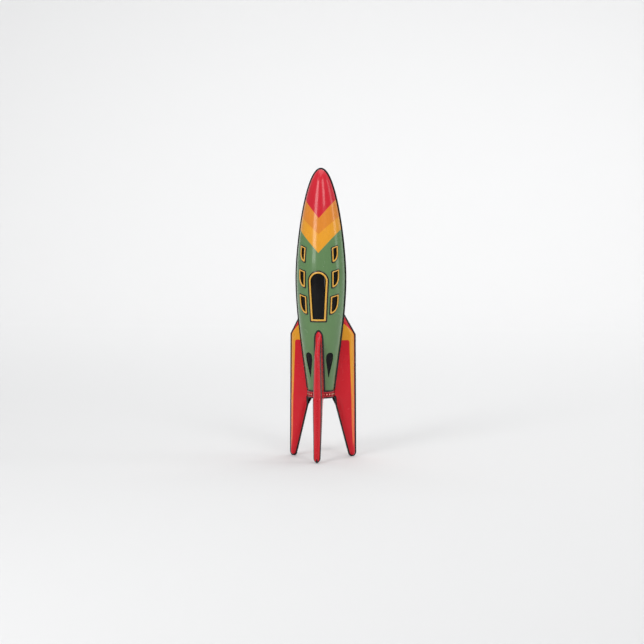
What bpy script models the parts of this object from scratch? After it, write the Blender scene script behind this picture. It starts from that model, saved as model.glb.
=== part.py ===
"""Friction-drive toy rocket of printed tinplate: a two-part pressed hull on three pressed fins.

It stands on its fins, and rolls on its belly on two driven wheels and a nose wheel, while a train of
gears spins up a flywheel. +Z points to the nose, the hatch faces -Y and the wheels face +Y. The origin
is on the ground, in the middle of the box that the toy fits in. Everything hangs from an empty on the
hull's axis, which is a little behind it, and all sizes below are measured from that axis.
"""

import math

import bmesh
import bpy
from mathutils import Matrix, Vector

MM = 0.001

# Sheet metal and the gaps between pieces
TIN = 0.4 * MM
FIT_GAP = 0.3 * MM
RUNNING_GAP = 0.3 * MM

# Hull: two Bezier arcs, from the nose to the widest place and from there to the tail
TOTAL_HEIGHT = 300 * MM
HULL_RADIUS = 25.1 * MM
NOSE_BLUNTNESS = 15 * MM
SHOULDER_HEIGHT = 220 * MM
WIDEST_HEIGHT = 187 * MM
WAIST_HEIGHT = 148 * MM
TAIL_HEIGHT = 65 * MM
TAIL_RADIUS = 12.7 * MM
TAIL_RUN = 40 * MM
TAIL_TAPER = 0.115
SEAM_FLANGE = 1.3 * MM
HULL_SEGMENTS = 12
NOSE_ROWS = 11
TAIL_ROWS = 7

# Tail
BAND_BOTTOM = 63.4 * MM
BAND_HEIGHT = 8.4 * MM
BAND_THICKNESS = 0.6 * MM
TAIL_PLATE_HEIGHT = 67 * MM
TAIL_PLATE_RIM = 3 * MM
EXHAUST_RADIUS = 3 * MM

# Hatch window: an arch over a body that narrows downwards
HATCH_BOTTOM = 143 * MM
HATCH_HEIGHT = 53 * MM
HATCH_WIDTH = 21.8 * MM
HATCH_FOOT_WIDTH = 17.5 * MM
HATCH_ARCH = 11 * MM
HATCH_FRAME = 3 * MM

# Portholes, one row for each pair: bottom, width, height and degrees round from the front
PORTHOLES = (
    (203.3 * MM, 9.3 * MM, 18.7 * MM, 43.5),
    (177.4 * MM, 10.5 * MM, 20.5 * MM, 43.2),
    (150.3 * MM, 11.4 * MM, 22 * MM, 41.5),
)
PORTHOLE_FRAME = 2.3 * MM
PORTHOLE_RISE = 2.6 * MM
PORTHOLE_STRAIGHT = 0.4
FRAME_HEIGHT = 0.8 * MM
FRAME_LAP = 0.6 * MM
PANE_THICKNESS = 0.5 * MM
PANE_LAP = 1.3 * MM

# Teardrop exhaust vents, one on each side of the front fin
VENT_BOTTOM = 84.5 * MM
VENT_HEIGHT = 27.2 * MM
VENT_WIDTH = 8.2 * MM
VENT_ANGLE = 37

# Fins
FIN_REACH = 40 * MM
FIN_TIP_RADIUS = 4.6 * MM
FOOT_WIDTH = 3 * MM
FIN_FLANGE = 1.4 * MM
FIN_BULGE_FOOT = 3.1 * MM
FIN_BULGE_WAIST = 4.3 * MM
FIN_BULGE_TOP = 2.7 * MM
FIN_PRESS_RAMP = 8 * MM
FIN_OPENING = 9 * MM
FIN_SHOULDER_IN = 0.8 * MM
FIN_SLOPE_HEIGHT = 24.2 * MM
REAR_FIN_TOP = 151.7 * MM
FRONT_FIN_TOP = 133.4 * MM
REAR_FIN_ANGLE = 120
TAB_HEIGHT = 6 * MM
TAB_REACH = 2.4 * MM
TAB_THICKNESS = 0.3 * MM
FRONT_TABS = (84 * MM, 108 * MM)
REAR_TABS = (84 * MM, 124 * MM)

# Friction motor: two plates, across X, and the shafts between them
PLATE_GAP = 12.6 * MM
PLATE_THICKNESS = 0.8 * MM
PLATE_TAB = 6 * MM
MODULE = 0.6 * MM
GEAR_TEETH = 30
PINION_TEETH = 10
TOOTH_RISE = 0.85
TOOTH_DEPTH = 1.15
TOOTH_SHARE = 0.44
MESH_SLACK = 0.05 * MM
GEAR_WIDTH = 2 * MM
PINION_WIDTH = 2.6 * MM
DRIVE_GEAR_X = 4.4 * MM
MIDDLE_GEAR_X = 1 * MM
SHAFT_RADIUS = 1 * MM
AXLE_RADIUS = 1.25 * MM
DRIVE_AXLE_Y = 14.5 * MM
DRIVE_AXLE_Z = 117 * MM
MIDDLE_SHAFT_RISE = 38
FLYWHEEL_SHAFT_RISE = 65
FLYWHEEL_CLEARANCE = 1.05 * MM
FLYWHEEL_WIDTH = 3.8 * MM
FLYWHEEL_X = -3.9 * MM
LOWER_BULKHEAD = 96.6 * MM
UPPER_BULKHEAD = 151.5 * MM
BULKHEAD_THICKNESS = 0.6 * MM
BULKHEAD_HOLE = 6 * MM
PILLAR_RADIUS = 1.6 * MM
RIVET_RADIUS = 0.9 * MM
RIVET_HEAD = 0.7 * MM
BELLY_SIDE_CLEARANCE = 1.4 * MM
BELLY_END_CLEARANCE = 2 * MM

# Wheels
WHEEL_RADIUS = 15.5 * MM
WHEEL_WIDTH = 3.6 * MM
WHEEL_INNER_X = 8.6 * MM
HUB_RADIUS = 10 * MM
NOSE_WHEEL_RADIUS = 12 * MM
NOSE_WHEEL_WIDTH = 4.6 * MM
NOSE_HUB_RADIUS = 7.5 * MM
NOSE_AXLE_Y = 18 * MM
NOSE_AXLE_Z = 222 * MM
FORK_GAP = 10.8 * MM
FORK_THICKNESS = 0.6 * MM
FORK_LENGTH = 18 * MM
FORK_TAB = 3 * MM

WHEEL_REACH = DRIVE_AXLE_Y + WHEEL_RADIUS
ROUND = 20
SMALL_ROUND = 10
FRONT, BACK = -1, 1
SEAM_FACE = FIT_GAP / 2 + TIN


# Collections and materials ---------------------------------------------------------------------


def clear_scene():
    for thing in list(bpy.data.objects):
        bpy.data.objects.remove(thing, do_unlink=True)


def new_collection(name):
    made = bpy.data.collections.new(name)
    bpy.context.scene.collection.children.link(made)
    return made


def linear(channel):
    share = channel / 255
    return share / 12.92 if share < 0.04045 else ((share + 0.055) / 1.055) ** 2.4


def new_material(name, colour, roughness=0.3, metallic=0.0):
    made = bpy.data.materials.new(name)
    made.use_nodes = True
    made.diffuse_color = [*map(linear, colour), 1]
    shader = made.node_tree.nodes["Principled BSDF"]
    shader.inputs["Base Color"].default_value = [*map(linear, colour), 1]
    shader.inputs["Roughness"].default_value = roughness
    shader.inputs["Metallic"].default_value = metallic
    return made


clear_scene()
rocket = new_collection("tin_rocket")
cutters = new_collection("cutters")
hull_axis = bpy.data.objects.new("hull_axis", None)
rocket.objects.link(hull_axis)
hull_axis.location.y = (FIN_REACH - WHEEL_REACH) / 2
green_tin = new_material("green_tin", (106, 134, 94), 0.25)
red_tin = new_material("red_tin", (204, 40, 56), 0.25)
yellow_tin = new_material("yellow_tin", (230, 168, 58), 0.25)
black_pane = new_material("black_pane", (14, 14, 16), 0.08)
bare_steel = new_material("bare_steel", (176, 176, 172), 0.35, 1.0)
brass = new_material("brass", (190, 150, 82), 0.3, 1.0)
lead = new_material("lead", (110, 112, 116), 0.5, 1.0)
rubber = new_material("rubber", (28, 28, 29), 0.7)


# Making and placing solids ----------------------------------------------------------------------


def add_object(name, data, place, collection, material=None, parent=None):
    made = bpy.data.objects.new(name, data)
    collection.objects.link(made)
    made.parent = parent or hull_axis
    made.matrix_local = place
    if material:
        data.materials.append(material)
    if collection is cutters:
        made.hide_render = True
        made.display_type = "WIRE"
    return made


def finish_mesh(bm, name):
    """Closes a bmesh into a new mesh, shaded smooth apart from its sharp edges."""
    mesh = bpy.data.meshes.new(name)
    bm.to_mesh(mesh)
    bm.free()
    mesh.shade_smooth()
    mesh.set_sharp_from_angle(angle=math.radians(30))
    return mesh


def prism(name, loops, depth, place, collection, material=None, parent=None):
    """A flat outline, with any holes, given a thickness that is centred on its plane."""
    curve = bpy.data.curves.new(name + "_outline", "CURVE")
    curve.dimensions = "2D"
    curve.fill_mode = "BOTH"
    curve.extrude = depth / 2
    for loop in loops:
        spline = curve.splines.new("POLY")
        spline.points.add(len(loop) - 1)
        spline.use_cyclic_u = True
        for point, (u, v) in zip(spline.points, loop):
            point.co = (u, v, 0, 1)
    drawn = bpy.data.objects.new(name + "_drawn", curve)
    cutters.objects.link(drawn)
    graph = bpy.context.evaluated_depsgraph_get()
    mesh = bpy.data.meshes.new_from_object(drawn.evaluated_get(graph))
    bpy.data.objects.remove(drawn)
    bm = bmesh.new()
    bm.from_mesh(mesh)
    bmesh.ops.remove_doubles(bm, verts=bm.verts, dist=1e-6)
    bmesh.ops.recalc_face_normals(bm, faces=bm.faces)
    return add_object(name, finish_mesh(bm, name), place, collection, material, parent)


def turned(name, profile, place, collection, material=None, parent=None, steps=ROUND, ring=False):
    """A solid turned about its own Z. The profile runs from the top down its outer side, and a ring's
    profile goes on up its inner side, back to where it starts."""
    mesh = bpy.data.meshes.new(name)
    count = len(profile)
    edges = [(i, (i + 1) % count) for i in range(count if ring else count - 1)]
    mesh.from_pydata([(radius, 0, height) for radius, height in profile], edges, [])
    made = add_object(name, mesh, place, collection, material, parent)
    screw = made.modifiers.new("turn", "SCREW")
    screw.steps = steps
    screw.render_steps = steps
    screw.use_merge_vertices = True
    screw.merge_threshold = 0.00001
    screw.use_smooth_shade = False
    return made


def boolean(target, cutter, operation="DIFFERENCE"):
    made = target.modifiers.new(f"{operation.lower()}_{cutter.name}"[:60], "BOOLEAN")
    made.operation = operation
    made.object = cutter


def frame_of(right, up, out, centre):
    """A placement whose own X, Y and Z lie along right, up and out."""
    columns = Matrix((right, up, out)).transposed().to_4x4()
    return Matrix.Translation(centre) @ columns


def across(x, y=0.0, z=0.0):
    """For a flat piece of the motor: its own X is along Y, its own Y is up and it is thick along X."""
    return frame_of((0, 1, 0), (0, 0, 1), (1, 0, 0), (x, y, z))


def facing(degrees, height, radius=0.0):
    """A placement that looks out of the hull, degrees round from the front, towards +X."""
    angle = math.radians(degrees)
    out = Vector((math.sin(angle), -math.cos(angle), 0))
    right = Vector((math.cos(angle), math.sin(angle), 0))
    return frame_of(right, (0, 0, 1), out, out * radius + Vector((0, 0, height)))


def new_axis(name, y, z):
    """The empty on a joint's axis, which its moving pieces hang from."""
    return add_object(name, None, Matrix.Translation((0, y, z)), rocket)


def rectangle(width, height, u=0.0, v=0.0):
    half_width, half_height = width / 2, height / 2
    return [
        (u - half_width, v - half_height),
        (u + half_width, v - half_height),
        (u + half_width, v + half_height),
        (u - half_width, v + half_height),
    ]


def circle(radius, u=0.0, v=0.0, steps=SMALL_ROUND):
    turns = [2 * math.pi * i / steps for i in range(steps)]
    return [(u + radius * math.cos(a), v + radius * math.sin(a)) for a in turns]


# The hull's shape ---------------------------------------------------------------------------------

NOSE_TOP = TOTAL_HEIGHT - SEAM_FLANGE
BAND_TOP = BAND_BOTTOM + BAND_HEIGHT
SEAM_END = BAND_TOP + 1.4 * MM
HULL_ARCS = (
    (
        (0, NOSE_TOP),
        (NOSE_BLUNTNESS, NOSE_TOP),
        (HULL_RADIUS, SHOULDER_HEIGHT),
        (HULL_RADIUS, WIDEST_HEIGHT),
    ),
    (
        (HULL_RADIUS, WIDEST_HEIGHT),
        (HULL_RADIUS, WAIST_HEIGHT),
        (TAIL_RADIUS + TAIL_TAPER * TAIL_RUN, TAIL_HEIGHT + TAIL_RUN),
        (TAIL_RADIUS, TAIL_HEIGHT),
    ),
)


def hull_point(along):
    """Radius and height on the hull's profile: along is 0 at the nose, 1 at the widest, 2 at the tail."""
    arc = HULL_ARCS[0] if along <= 1 else HULL_ARCS[1]
    t = along if along <= 1 else along - 1
    weights = ((1 - t) ** 3, 3 * (1 - t) ** 2 * t, 3 * (1 - t) * t**2, t**3)
    return tuple(sum(w * point[k] for w, point in zip(weights, arc)) for k in (0, 1))


def hull_along(height):
    """Where on the profile that height is, by halving."""
    low, high = 0.0, 2.0
    for _ in range(40):
        middle = (low + high) / 2
        if hull_point(middle)[1] > height:
            low = middle
        else:
            high = middle
    return (low + high) / 2


def hull_radius_at(height):
    return hull_point(hull_along(height))[0]


def inner_radius_at(height):
    """The largest circle that fits inside the hull's flat facets there."""
    facet = math.cos(math.pi / HULL_SEGMENTS / 2)
    return (hull_radius_at(height) - TIN) * facet - FIT_GAP


def hull_outward(along):
    """The profile's outward direction, as radius and height."""
    step = 0.001
    before = Vector(hull_point(max(along - step, 0)))
    after = Vector(hull_point(min(along + step, 2)))
    down = (after - before).normalized()
    return Vector((-down.y, down.x))


def hull_rows():
    nose = [i / NOSE_ROWS for i in range(NOSE_ROWS)]
    tail = [1 + i / TAIL_ROWS for i in range(TAIL_ROWS + 1)]
    seam = [hull_along(SEAM_END), hull_along(BAND_TOP + FIT_GAP)]
    return sorted(nose + [t for t in tail if abs(t - seam[0]) > 0.03] + seam)


def hull_half_point(row, column, along, side):
    """A point of one half: columns run from the flange at -X round to the flange at +X."""
    radius, height = hull_point(along)
    outward = hull_outward(along)
    sweep = math.acos(min(SEAM_FACE / radius, 1)) if radius > 0 else 0
    shell_column = min(max(column - 1, 0), HULL_SEGMENTS)
    angle = sweep * (2 * shell_column / HULL_SEGMENTS - 1)
    x, y = radius * math.sin(angle), side * max(radius * math.cos(angle), SEAM_FACE)
    if column in (0, HULL_SEGMENTS + 2) and height > SEAM_END - FIT_GAP:
        direction = 0 if row == 0 else math.copysign(1, column - 1)
        x += direction * SEAM_FLANGE * outward.x
        height += SEAM_FLANGE * outward.y
    return Vector((x, y, height))


def hull_half(name, side):
    """One pressed half: a mapped grid, given the tin's thickness inwards."""
    rows = hull_rows()
    columns = HULL_SEGMENTS + 3
    bm = bmesh.new()
    grid = [
        [bm.verts.new(hull_half_point(r, c, along, side)) for c in range(columns)]
        for r, along in enumerate(rows)
    ]
    for upper, lower in zip(grid, grid[1:]):
        for c in range(columns - 1):
            corners = (upper[c], lower[c], lower[c + 1], upper[c + 1])
            bm.faces.new(corners if side == FRONT else corners[::-1])
    bmesh.ops.remove_doubles(bm, verts=bm.verts, dist=1e-6)
    bmesh.ops.dissolve_degenerate(bm, edges=bm.edges, dist=1e-7)
    made = add_object(name, finish_mesh(bm, name), Matrix(), rocket, green_tin)
    wall = made.modifiers.new("tin", "SOLIDIFY")
    wall.thickness = TIN
    wall.offset = -1
    wall.use_even_offset = True
    return made


def hull_layer(name, low, high, inner, outer):
    """A ring that follows the hull's wall, between two distances out from its outer face."""
    steps = 14
    heights = [high + (low - high) * i / steps for i in range(steps + 1)]
    wall = [(hull_radius_at(z) + outer, z) for z in heights]
    wall += [(hull_radius_at(z) + inner, z) for z in reversed(heights)]
    return turned(name, wall, Matrix(), cutters, steps=2 * HULL_SEGMENTS, ring=True)


# Windows, vents and their frames -------------------------------------------------------------------


def hatch_outline(inset):
    """An arch over sides that draw in downwards, with every side moved in by inset."""
    half, foot = HATCH_WIDTH / 2 - inset, HATCH_FOOT_WIDTH / 2 - inset
    spring = HATCH_HEIGHT - HATCH_ARCH
    arch = [math.pi * i / 10 for i in range(11)]
    top = [(half * math.cos(a), spring + (HATCH_ARCH - inset) * math.sin(a)) for a in arch]
    return [(-foot, inset), (foot, inset)] + top


def porthole_outline(width, height, inset, mirrored):
    """Straight inner side, a top that rises outwards, and an outer side that curves in to the foot."""
    half = width / 2 - inset
    foot, head = inset * 1.4, height - inset * 1.1
    bend = height * (1 - PORTHOLE_STRAIGHT)
    curve = [math.pi / 2 * i / 6 for i in range(6)]
    sweep = [(2 * half * math.cos(a) - half, bend - (bend - foot) * math.sin(a)) for a in curve]
    rise = PORTHOLE_RISE * 2 * half / width
    loop = [(-half, head - rise), (-half, foot + 0.8 * MM)] + sweep[::-1] + [(half, head)]
    return [(-u, v) for u, v in reversed(loop)] if mirrored else loop


def vent_outline(inset):
    """A teardrop that hangs point down from a shallow arch."""
    half = VENT_WIDTH / 2 - inset
    foot = inset * 2
    spring = VENT_HEIGHT - VENT_WIDTH / 2
    arch = [math.pi * (i + 1) / 8 for i in range(7)]
    top = [(half * math.cos(a), spring + half * 0.9 * math.sin(a)) for a in arch]
    return [(0, foot), (half, spring - VENT_WIDTH / 2)] + top + [(-half, spring - VENT_WIDTH / 2)]


def window(name, outline, frame_width, place, hull, outer_layer, inner_layer):
    """Cuts the hull behind a frame, and adds the frame and the dark pane behind it."""
    depth = 2 * HULL_RADIUS
    lap = frame_width - FRAME_LAP
    boolean(hull, prism(name + "_opening", [outline(lap)], depth, place, cutters))
    loops = [outline(0), outline(frame_width)]
    frame = prism(name + "_frame", loops, depth, place, rocket, yellow_tin)
    boolean(frame, outer_layer, "INTERSECT")
    pane = prism(name + "_pane", [outline(lap - PANE_LAP)], depth, place, rocket, black_pane)
    boolean(pane, inner_layer, "INTERSECT")


def build_windows(hull):
    high = PORTHOLES[0][0] + 30 * MM
    face = -TIN - FIT_GAP
    outer = hull_layer("frame_layer", HATCH_BOTTOM - 9 * MM, high, FIT_GAP, FIT_GAP + FRAME_HEIGHT)
    inner = hull_layer("pane_layer", VENT_BOTTOM - 9 * MM, high, face - PANE_THICKNESS, face)
    place = facing(0, HATCH_BOTTOM, HULL_RADIUS)
    window("hatch", hatch_outline, HATCH_FRAME, place, hull, outer, inner)
    names = ("upper", "middle", "lower")
    for row, (bottom, width, height, degrees) in zip(names, PORTHOLES):
        for hand, sign in (("left", -1), ("right", 1)):
            place = facing(sign * degrees, bottom, HULL_RADIUS)

            def outline(inset, width=width, height=height, mirrored=sign < 0):
                return porthole_outline(width, height, inset, mirrored)

            window(f"{row}_{hand}_porthole", outline, PORTHOLE_FRAME, place, hull, outer, inner)
    for hand, sign in (("left", -1), ("right", 1)):
        place = facing(sign * VENT_ANGLE, VENT_BOTTOM, HULL_RADIUS)
        depth = 2 * HULL_RADIUS
        boolean(hull, prism(hand + "_vent_opening", [vent_outline(0)], depth, place, cutters))
        screen = [vent_outline(-PANE_LAP)]
        boolean(prism(hand + "_vent_screen", screen, depth, place, rocket, black_pane), inner, "INTERSECT")


# Fins -------------------------------------------------------------------------------------------


def fin_root_at(height):
    """How near the axis a fin may come there: clear of the hull, or of the band round its tail."""
    if height > BAND_TOP + FIT_GAP:
        return hull_radius_at(height) + FIT_GAP
    return hull_radius_at(max(height, TAIL_HEIGHT)) + 2 * FIT_GAP + BAND_THICKNESS


def fin_outline(top):
    """The fin's inner and outer edges, each as (reach, height) from the foot up."""
    tip_centre = FIN_REACH - FIN_TIP_RADIUS
    drop = math.sqrt(FIN_TIP_RADIUS**2 - (FOOT_WIDTH / 2) ** 2)
    start = math.asin(FOOT_WIDTH / 2 / FIN_TIP_RADIUS)
    arc = [start + (math.pi / 2 - start) * i / 3 for i in range(4)]
    outer = [
        (tip_centre + FIN_TIP_RADIUS * math.sin(a), drop - FIN_TIP_RADIUS * math.cos(a)) for a in arc
    ]
    root_top = fin_root_at(top)
    outer += [(FIN_REACH - FIN_SHOULDER_IN, top - FIN_SLOPE_HEIGHT), (root_top + 1 * MM, top)]
    inner = [
        (tip_centre - FIN_TIP_RADIUS * math.sin(a), drop - FIN_TIP_RADIUS * math.cos(a))
        for a in arc[:-1]
    ]
    seat = BAND_TOP + FIT_GAP
    clear = seat + 1 * MM
    climb = (top - clear) / 5
    heights = (BAND_BOTTOM, seat, *[clear + climb * i for i in range(6)])
    inner += [(fin_root_at(z), z) for z in heights]
    return inner, outer


def reach_at(chain, height):
    """The reach of a chain of (reach, height) points at a height."""
    for (r0, z0), (r1, z1) in zip(chain, chain[1:]):
        if z0 - 1e-9 <= height <= z1 + 1e-9:
            return r0 + (r1 - r0) * (height - z0) / max(z1 - z0, 1e-9)
    return chain[-1][0] if height > chain[-1][1] else chain[0][0]


def rounded(share):
    """Rises from 0 to 1 like the rim of a pressed panel."""
    return 1 - (1 - min(max(share, 0), 1)) ** 2.2


def fin_bulge(height, top):
    """How far a skin stands out of the fin's middle plane there, away from its edges."""
    if height < TAIL_HEIGHT:
        share = math.sin(height / TAIL_HEIGHT * math.pi / 2)
        bulge = FIN_BULGE_FOOT + (FIN_BULGE_WAIST - FIN_BULGE_FOOT) * share
    else:
        share = (height - TAIL_HEIGHT) / (top - TAIL_HEIGHT)
        bulge = FIN_BULGE_WAIST + (FIN_BULGE_TOP - FIN_BULGE_WAIST) * share
    return bulge * rounded((height - FIN_FLANGE) / FIN_TIP_RADIUS)


def fin_lift(reach, low, high, height, top):
    """A skin's distance from its flange's plane: closed at the edges, but open where it meets the hull."""
    flange = min(FIN_FLANGE, (high - low) * 0.25)
    ramp = min(FIN_PRESS_RAMP, (high - low) / 2) - flange
    if height > TAIL_HEIGHT:
        ramp = FIN_PRESS_RAMP * 0.5 + FIN_PRESS_RAMP * 0.5 * min((high - low) / FIN_PRESS_RAMP / 2, 1)
    outer = rounded((high - reach - flange) / ramp)
    inner = rounded((reach - low - flange) / ramp)
    opened = min(max((height - BAND_BOTTOM + FIN_OPENING) / FIN_OPENING, 0), 1)
    return fin_bulge(height, top) * outer * (inner + (1 - inner) * opened)


def fin_rows(top, inner, outer):
    marks = sorted({z for _, z in inner} | {z for _, z in outer})
    marks += [FIN_FLANGE, 10 * MM, 25 * MM, 43 * MM, BAND_BOTTOM - FIN_OPENING / 2]
    marks += [top - FIN_SLOPE_HEIGHT * share for share in (0.06, 0.2, 0.45, 0.7)]
    rows = []
    for z in sorted(marks):
        if not rows or z - rows[-1] > 0.4 * MM:
            rows.append(z)
    return rows


def fin_skin(name, top, degrees, hand):
    """One pressed side of a fin: a flange along its free edges, and a panel that bulges from it."""
    inner, outer = fin_outline(top)
    bm = bmesh.new()
    grid = []
    for z in fin_rows(top, inner, outer):
        low, high = reach_at(inner, z), reach_at(outer, z)
        half = (high - low) / 2
        flange = min(FIN_FLANGE, half / 2)
        ramp = min(FIN_PRESS_RAMP, half) - flange
        steps = [0.0] + [flange + ramp * share for share in (0.0, 0.3, 0.7)] + [half]
        line = []
        for reach in [low + step for step in steps] + [high - step for step in steps[-2::-1]]:
            lift = fin_lift(reach, low, high, z, top)
            wrapped = math.sqrt(reach**2 - min((high - reach) / (high - low), 1) * lift**2)
            line.append(bm.verts.new((hand * (SEAM_FACE + lift), z, wrapped)))
        grid.append(line)
    for lower, upper in zip(grid, grid[1:]):
        for c in range(len(lower) - 1):
            corners = (lower[c], lower[c + 1], upper[c + 1], upper[c])
            bm.faces.new(corners[::-1] if hand > 0 else corners)
    made = add_object(name, finish_mesh(bm, name), facing(degrees, 0), rocket, red_tin)
    wall = made.modifiers.new("tin", "SOLIDIFY")
    wall.thickness = TIN
    wall.offset = -1
    wall.use_even_offset = True
    return made


def build_fin(name, top, degrees, tabs, hull):
    """Two skins, seam to seam. The left one has tabs that pass through slots in the hull."""
    left = fin_skin(name + "_left_skin", top, degrees, -1)
    fin_skin(name + "_right_skin", top, degrees, 1)
    inner, outer = fin_outline(top)
    for number, height in enumerate(tabs):
        low, high = reach_at(inner, height), reach_at(outer, height)
        lift = fin_lift(low + TAB_REACH, low, high, height, top)
        side = Matrix.Translation((-SEAM_FACE - lift + TIN / 2, 0, 0))
        root = math.sqrt(low**2 - lift**2)
        length = 2 * TAB_REACH
        place = facing(degrees, height, root) @ side
        tab = prism(f"{name}_tab_{number}", [rectangle(TAB_THICKNESS, TAB_HEIGHT)], length, place, cutters)
        boolean(left, tab, "UNION")
        slot = rectangle(TAB_THICKNESS + 2 * FIT_GAP, TAB_HEIGHT + 2 * FIT_GAP)
        boolean(hull, prism(f"{name}_slot_{number}", [slot], 2 * length, place, cutters))


# Tail ---------------------------------------------------------------------------------------------


def build_tail():
    low, high = BAND_BOTTOM, BAND_TOP
    clear = FIT_GAP
    profile = [
        (hull_radius_at(high) + clear + BAND_THICKNESS, high),
        (hull_radius_at(TAIL_HEIGHT) + clear + BAND_THICKNESS, low),
        (hull_radius_at(TAIL_HEIGHT) + clear, low),
        (hull_radius_at(high) + clear, high),
    ]
    turned("tail_band", profile, Matrix(), rocket, red_tin, steps=2 * HULL_SEGMENTS, ring=True)
    rim = inner_radius_at(TAIL_HEIGHT)
    floor = TAIL_PLATE_HEIGHT
    plate = [
        (rim, floor + TAIL_PLATE_RIM),
        (rim, floor),
        (EXHAUST_RADIUS, floor),
        (EXHAUST_RADIUS, floor + TIN),
        (rim - TIN, floor + TIN),
        (rim - TIN, floor + TAIL_PLATE_RIM),
    ]
    turned("tail_plate", plate, Matrix(), rocket, bare_steel, steps=2 * HULL_SEGMENTS, ring=True)


# Friction motor ------------------------------------------------------------------------------------

CENTRES = MODULE * (GEAR_TEETH + PINION_TEETH) / 2 + MESH_SLACK
FLYWHEEL_RADIUS = CENTRES - SHAFT_RADIUS - FLYWHEEL_CLEARANCE


def stepped(y, z, degrees):
    """The next shaft's place: one centre distance on, up and towards the hatch."""
    angle = math.radians(degrees)
    return y - CENTRES * math.cos(angle), z + CENTRES * math.sin(angle)


DRIVE = (DRIVE_AXLE_Y, DRIVE_AXLE_Z)
MIDDLE = stepped(*DRIVE, MIDDLE_SHAFT_RISE)
FLYWHEEL = stepped(*MIDDLE, FLYWHEEL_SHAFT_RISE)
PLATE_X = PLATE_GAP / 2 + PLATE_THICKNESS / 2
PLATE_OUTER_X = PLATE_GAP / 2 + PLATE_THICKNESS
PILLARS = {
    "lower_front": (-9.5 * MM, LOWER_BULKHEAD + 6.4 * MM),
    "lower_back": (8.5 * MM, LOWER_BULKHEAD + 4.4 * MM),
    "upper_front": (-13.5 * MM, UPPER_BULKHEAD - 5 * MM),
    "upper_back": (14 * MM, UPPER_BULKHEAD - 6 * MM),
}


def gear_outline(teeth, toward):
    """Involute teeth. One tooth points toward that angle, in degrees."""
    pitch = MODULE * teeth / 2
    base = pitch * math.cos(math.radians(20))
    tip = pitch + TOOTH_RISE * MODULE
    root = pitch - TOOTH_DEPTH * MODULE

    def involute(radius):
        return 0 if radius <= base else math.sqrt((radius / base) ** 2 - 1) - math.acos(base / radius)

    half = TOOTH_SHARE * math.pi / teeth
    radii = [root, tip]
    loop = []
    for tooth in range(teeth):
        middle = 2 * math.pi * tooth / teeth + math.radians(toward)
        flank = [half + involute(pitch) - involute(r) for r in radii]
        loop += [(r * math.cos(middle - f), r * math.sin(middle - f)) for r, f in zip(radii, flank)]
        loop += [
            (r * math.cos(middle + f), r * math.sin(middle + f))
            for r, f in zip(reversed(radii), reversed(flank))
        ]
    return loop


def gear(name, teeth, toward, width, x, bore, material, axis):
    loops = [gear_outline(teeth, toward), circle(bore)]
    return prism(name, loops, width, across(x), rocket, material, axis)


def pin(name, sections, place, material, parent=None, steps=SMALL_ROUND):
    """A turned pin along its own Z: sections are (radius, from, to), from the top down."""
    profile = [(0, sections[0][1])]
    for radius, upper, lower in sections:
        profile += [(radius, upper), (radius, lower)]
    profile.append((0, sections[-1][2]))
    return turned(name, profile, place, rocket, material, parent, steps)


def bulkhead_outline(height):
    """A disc that fits the hull, drawn in at the front to clear the panes behind the windows."""
    full = inner_radius_at(height)
    loop = []
    for i in range(24):
        angle = math.radians(15 * i)
        reach = full - PANE_THICKNESS - FIT_GAP if math.cos(angle) > 0.38 else full
        loop.append((reach * math.sin(angle), -reach * math.cos(angle)))
    return loop


def build_plates():
    """Two plates whose tabs pass through the bulkheads, riveted together over four pillars."""
    low = LOWER_BULKHEAD + BULKHEAD_THICKNESS / 2 + FIT_GAP
    high = UPPER_BULKHEAD - BULKHEAD_THICKNESS / 2 - FIT_GAP
    tab = 1.6 * MM
    half_tab = PLATE_TAB / 2
    outline = [
        (-11.5 * MM, low),
        (-half_tab, low),
        (-half_tab, low - tab),
        (half_tab, low - tab),
        (half_tab, low),
        (10.5 * MM, low),
        (DRIVE[0] + 3.6 * MM, DRIVE[1] - 4 * MM),
        (DRIVE[0] + 3.6 * MM, DRIVE[1] + 5 * MM),
        (17 * MM, high - 8 * MM),
        (17 * MM, high),
        (half_tab, high),
        (half_tab, high + tab),
        (-half_tab, high + tab),
        (-half_tab, high),
        (-16 * MM, high),
        (-16 * MM, high - 10 * MM),
        (-11.5 * MM, low + 14 * MM),
    ]
    holes = [circle(RIVET_RADIUS + FIT_GAP, *place, 8) for place in PILLARS.values()]
    holes.append(circle(AXLE_RADIUS + RUNNING_GAP, *DRIVE))
    holes += [circle(SHAFT_RADIUS + RUNNING_GAP, *place) for place in (MIDDLE, FLYWHEEL)]
    for name, sign in (("left_motor_plate", -1), ("right_motor_plate", 1)):
        prism(name, [outline, *holes], PLATE_THICKNESS, across(sign * PLATE_X), rocket, bare_steel)
    for name, height in (("lower_bulkhead", LOWER_BULKHEAD), ("upper_bulkhead", UPPER_BULKHEAD)):
        slot = (PLATE_THICKNESS + 2 * FIT_GAP, PLATE_TAB + 2 * FIT_GAP)
        narrow = height - BULKHEAD_THICKNESS if height < WIDEST_HEIGHT else height
        loops = [bulkhead_outline(narrow), circle(BULKHEAD_HOLE)]
        loops += [rectangle(*slot, sign * PLATE_X) for sign in (-1, 1)]
        prism(name, loops, BULKHEAD_THICKNESS, Matrix.Translation((0, 0, height)), rocket, bare_steel)
    inside = PLATE_GAP / 2 - FIT_GAP
    outside = PLATE_OUTER_X + FIT_GAP
    end = outside + RIVET_HEAD
    head = RIVET_RADIUS + 0.8 * MM
    for name, (y, z) in PILLARS.items():
        sections = [
            (head, end, outside),
            (RIVET_RADIUS, outside, inside),
            (PILLAR_RADIUS, inside, -inside),
            (RIVET_RADIUS, -inside, -outside),
            (head, -outside, -end),
        ]
        pin(name + "_pillar", sections, across(0, y, z), bare_steel, steps=8)


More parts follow.
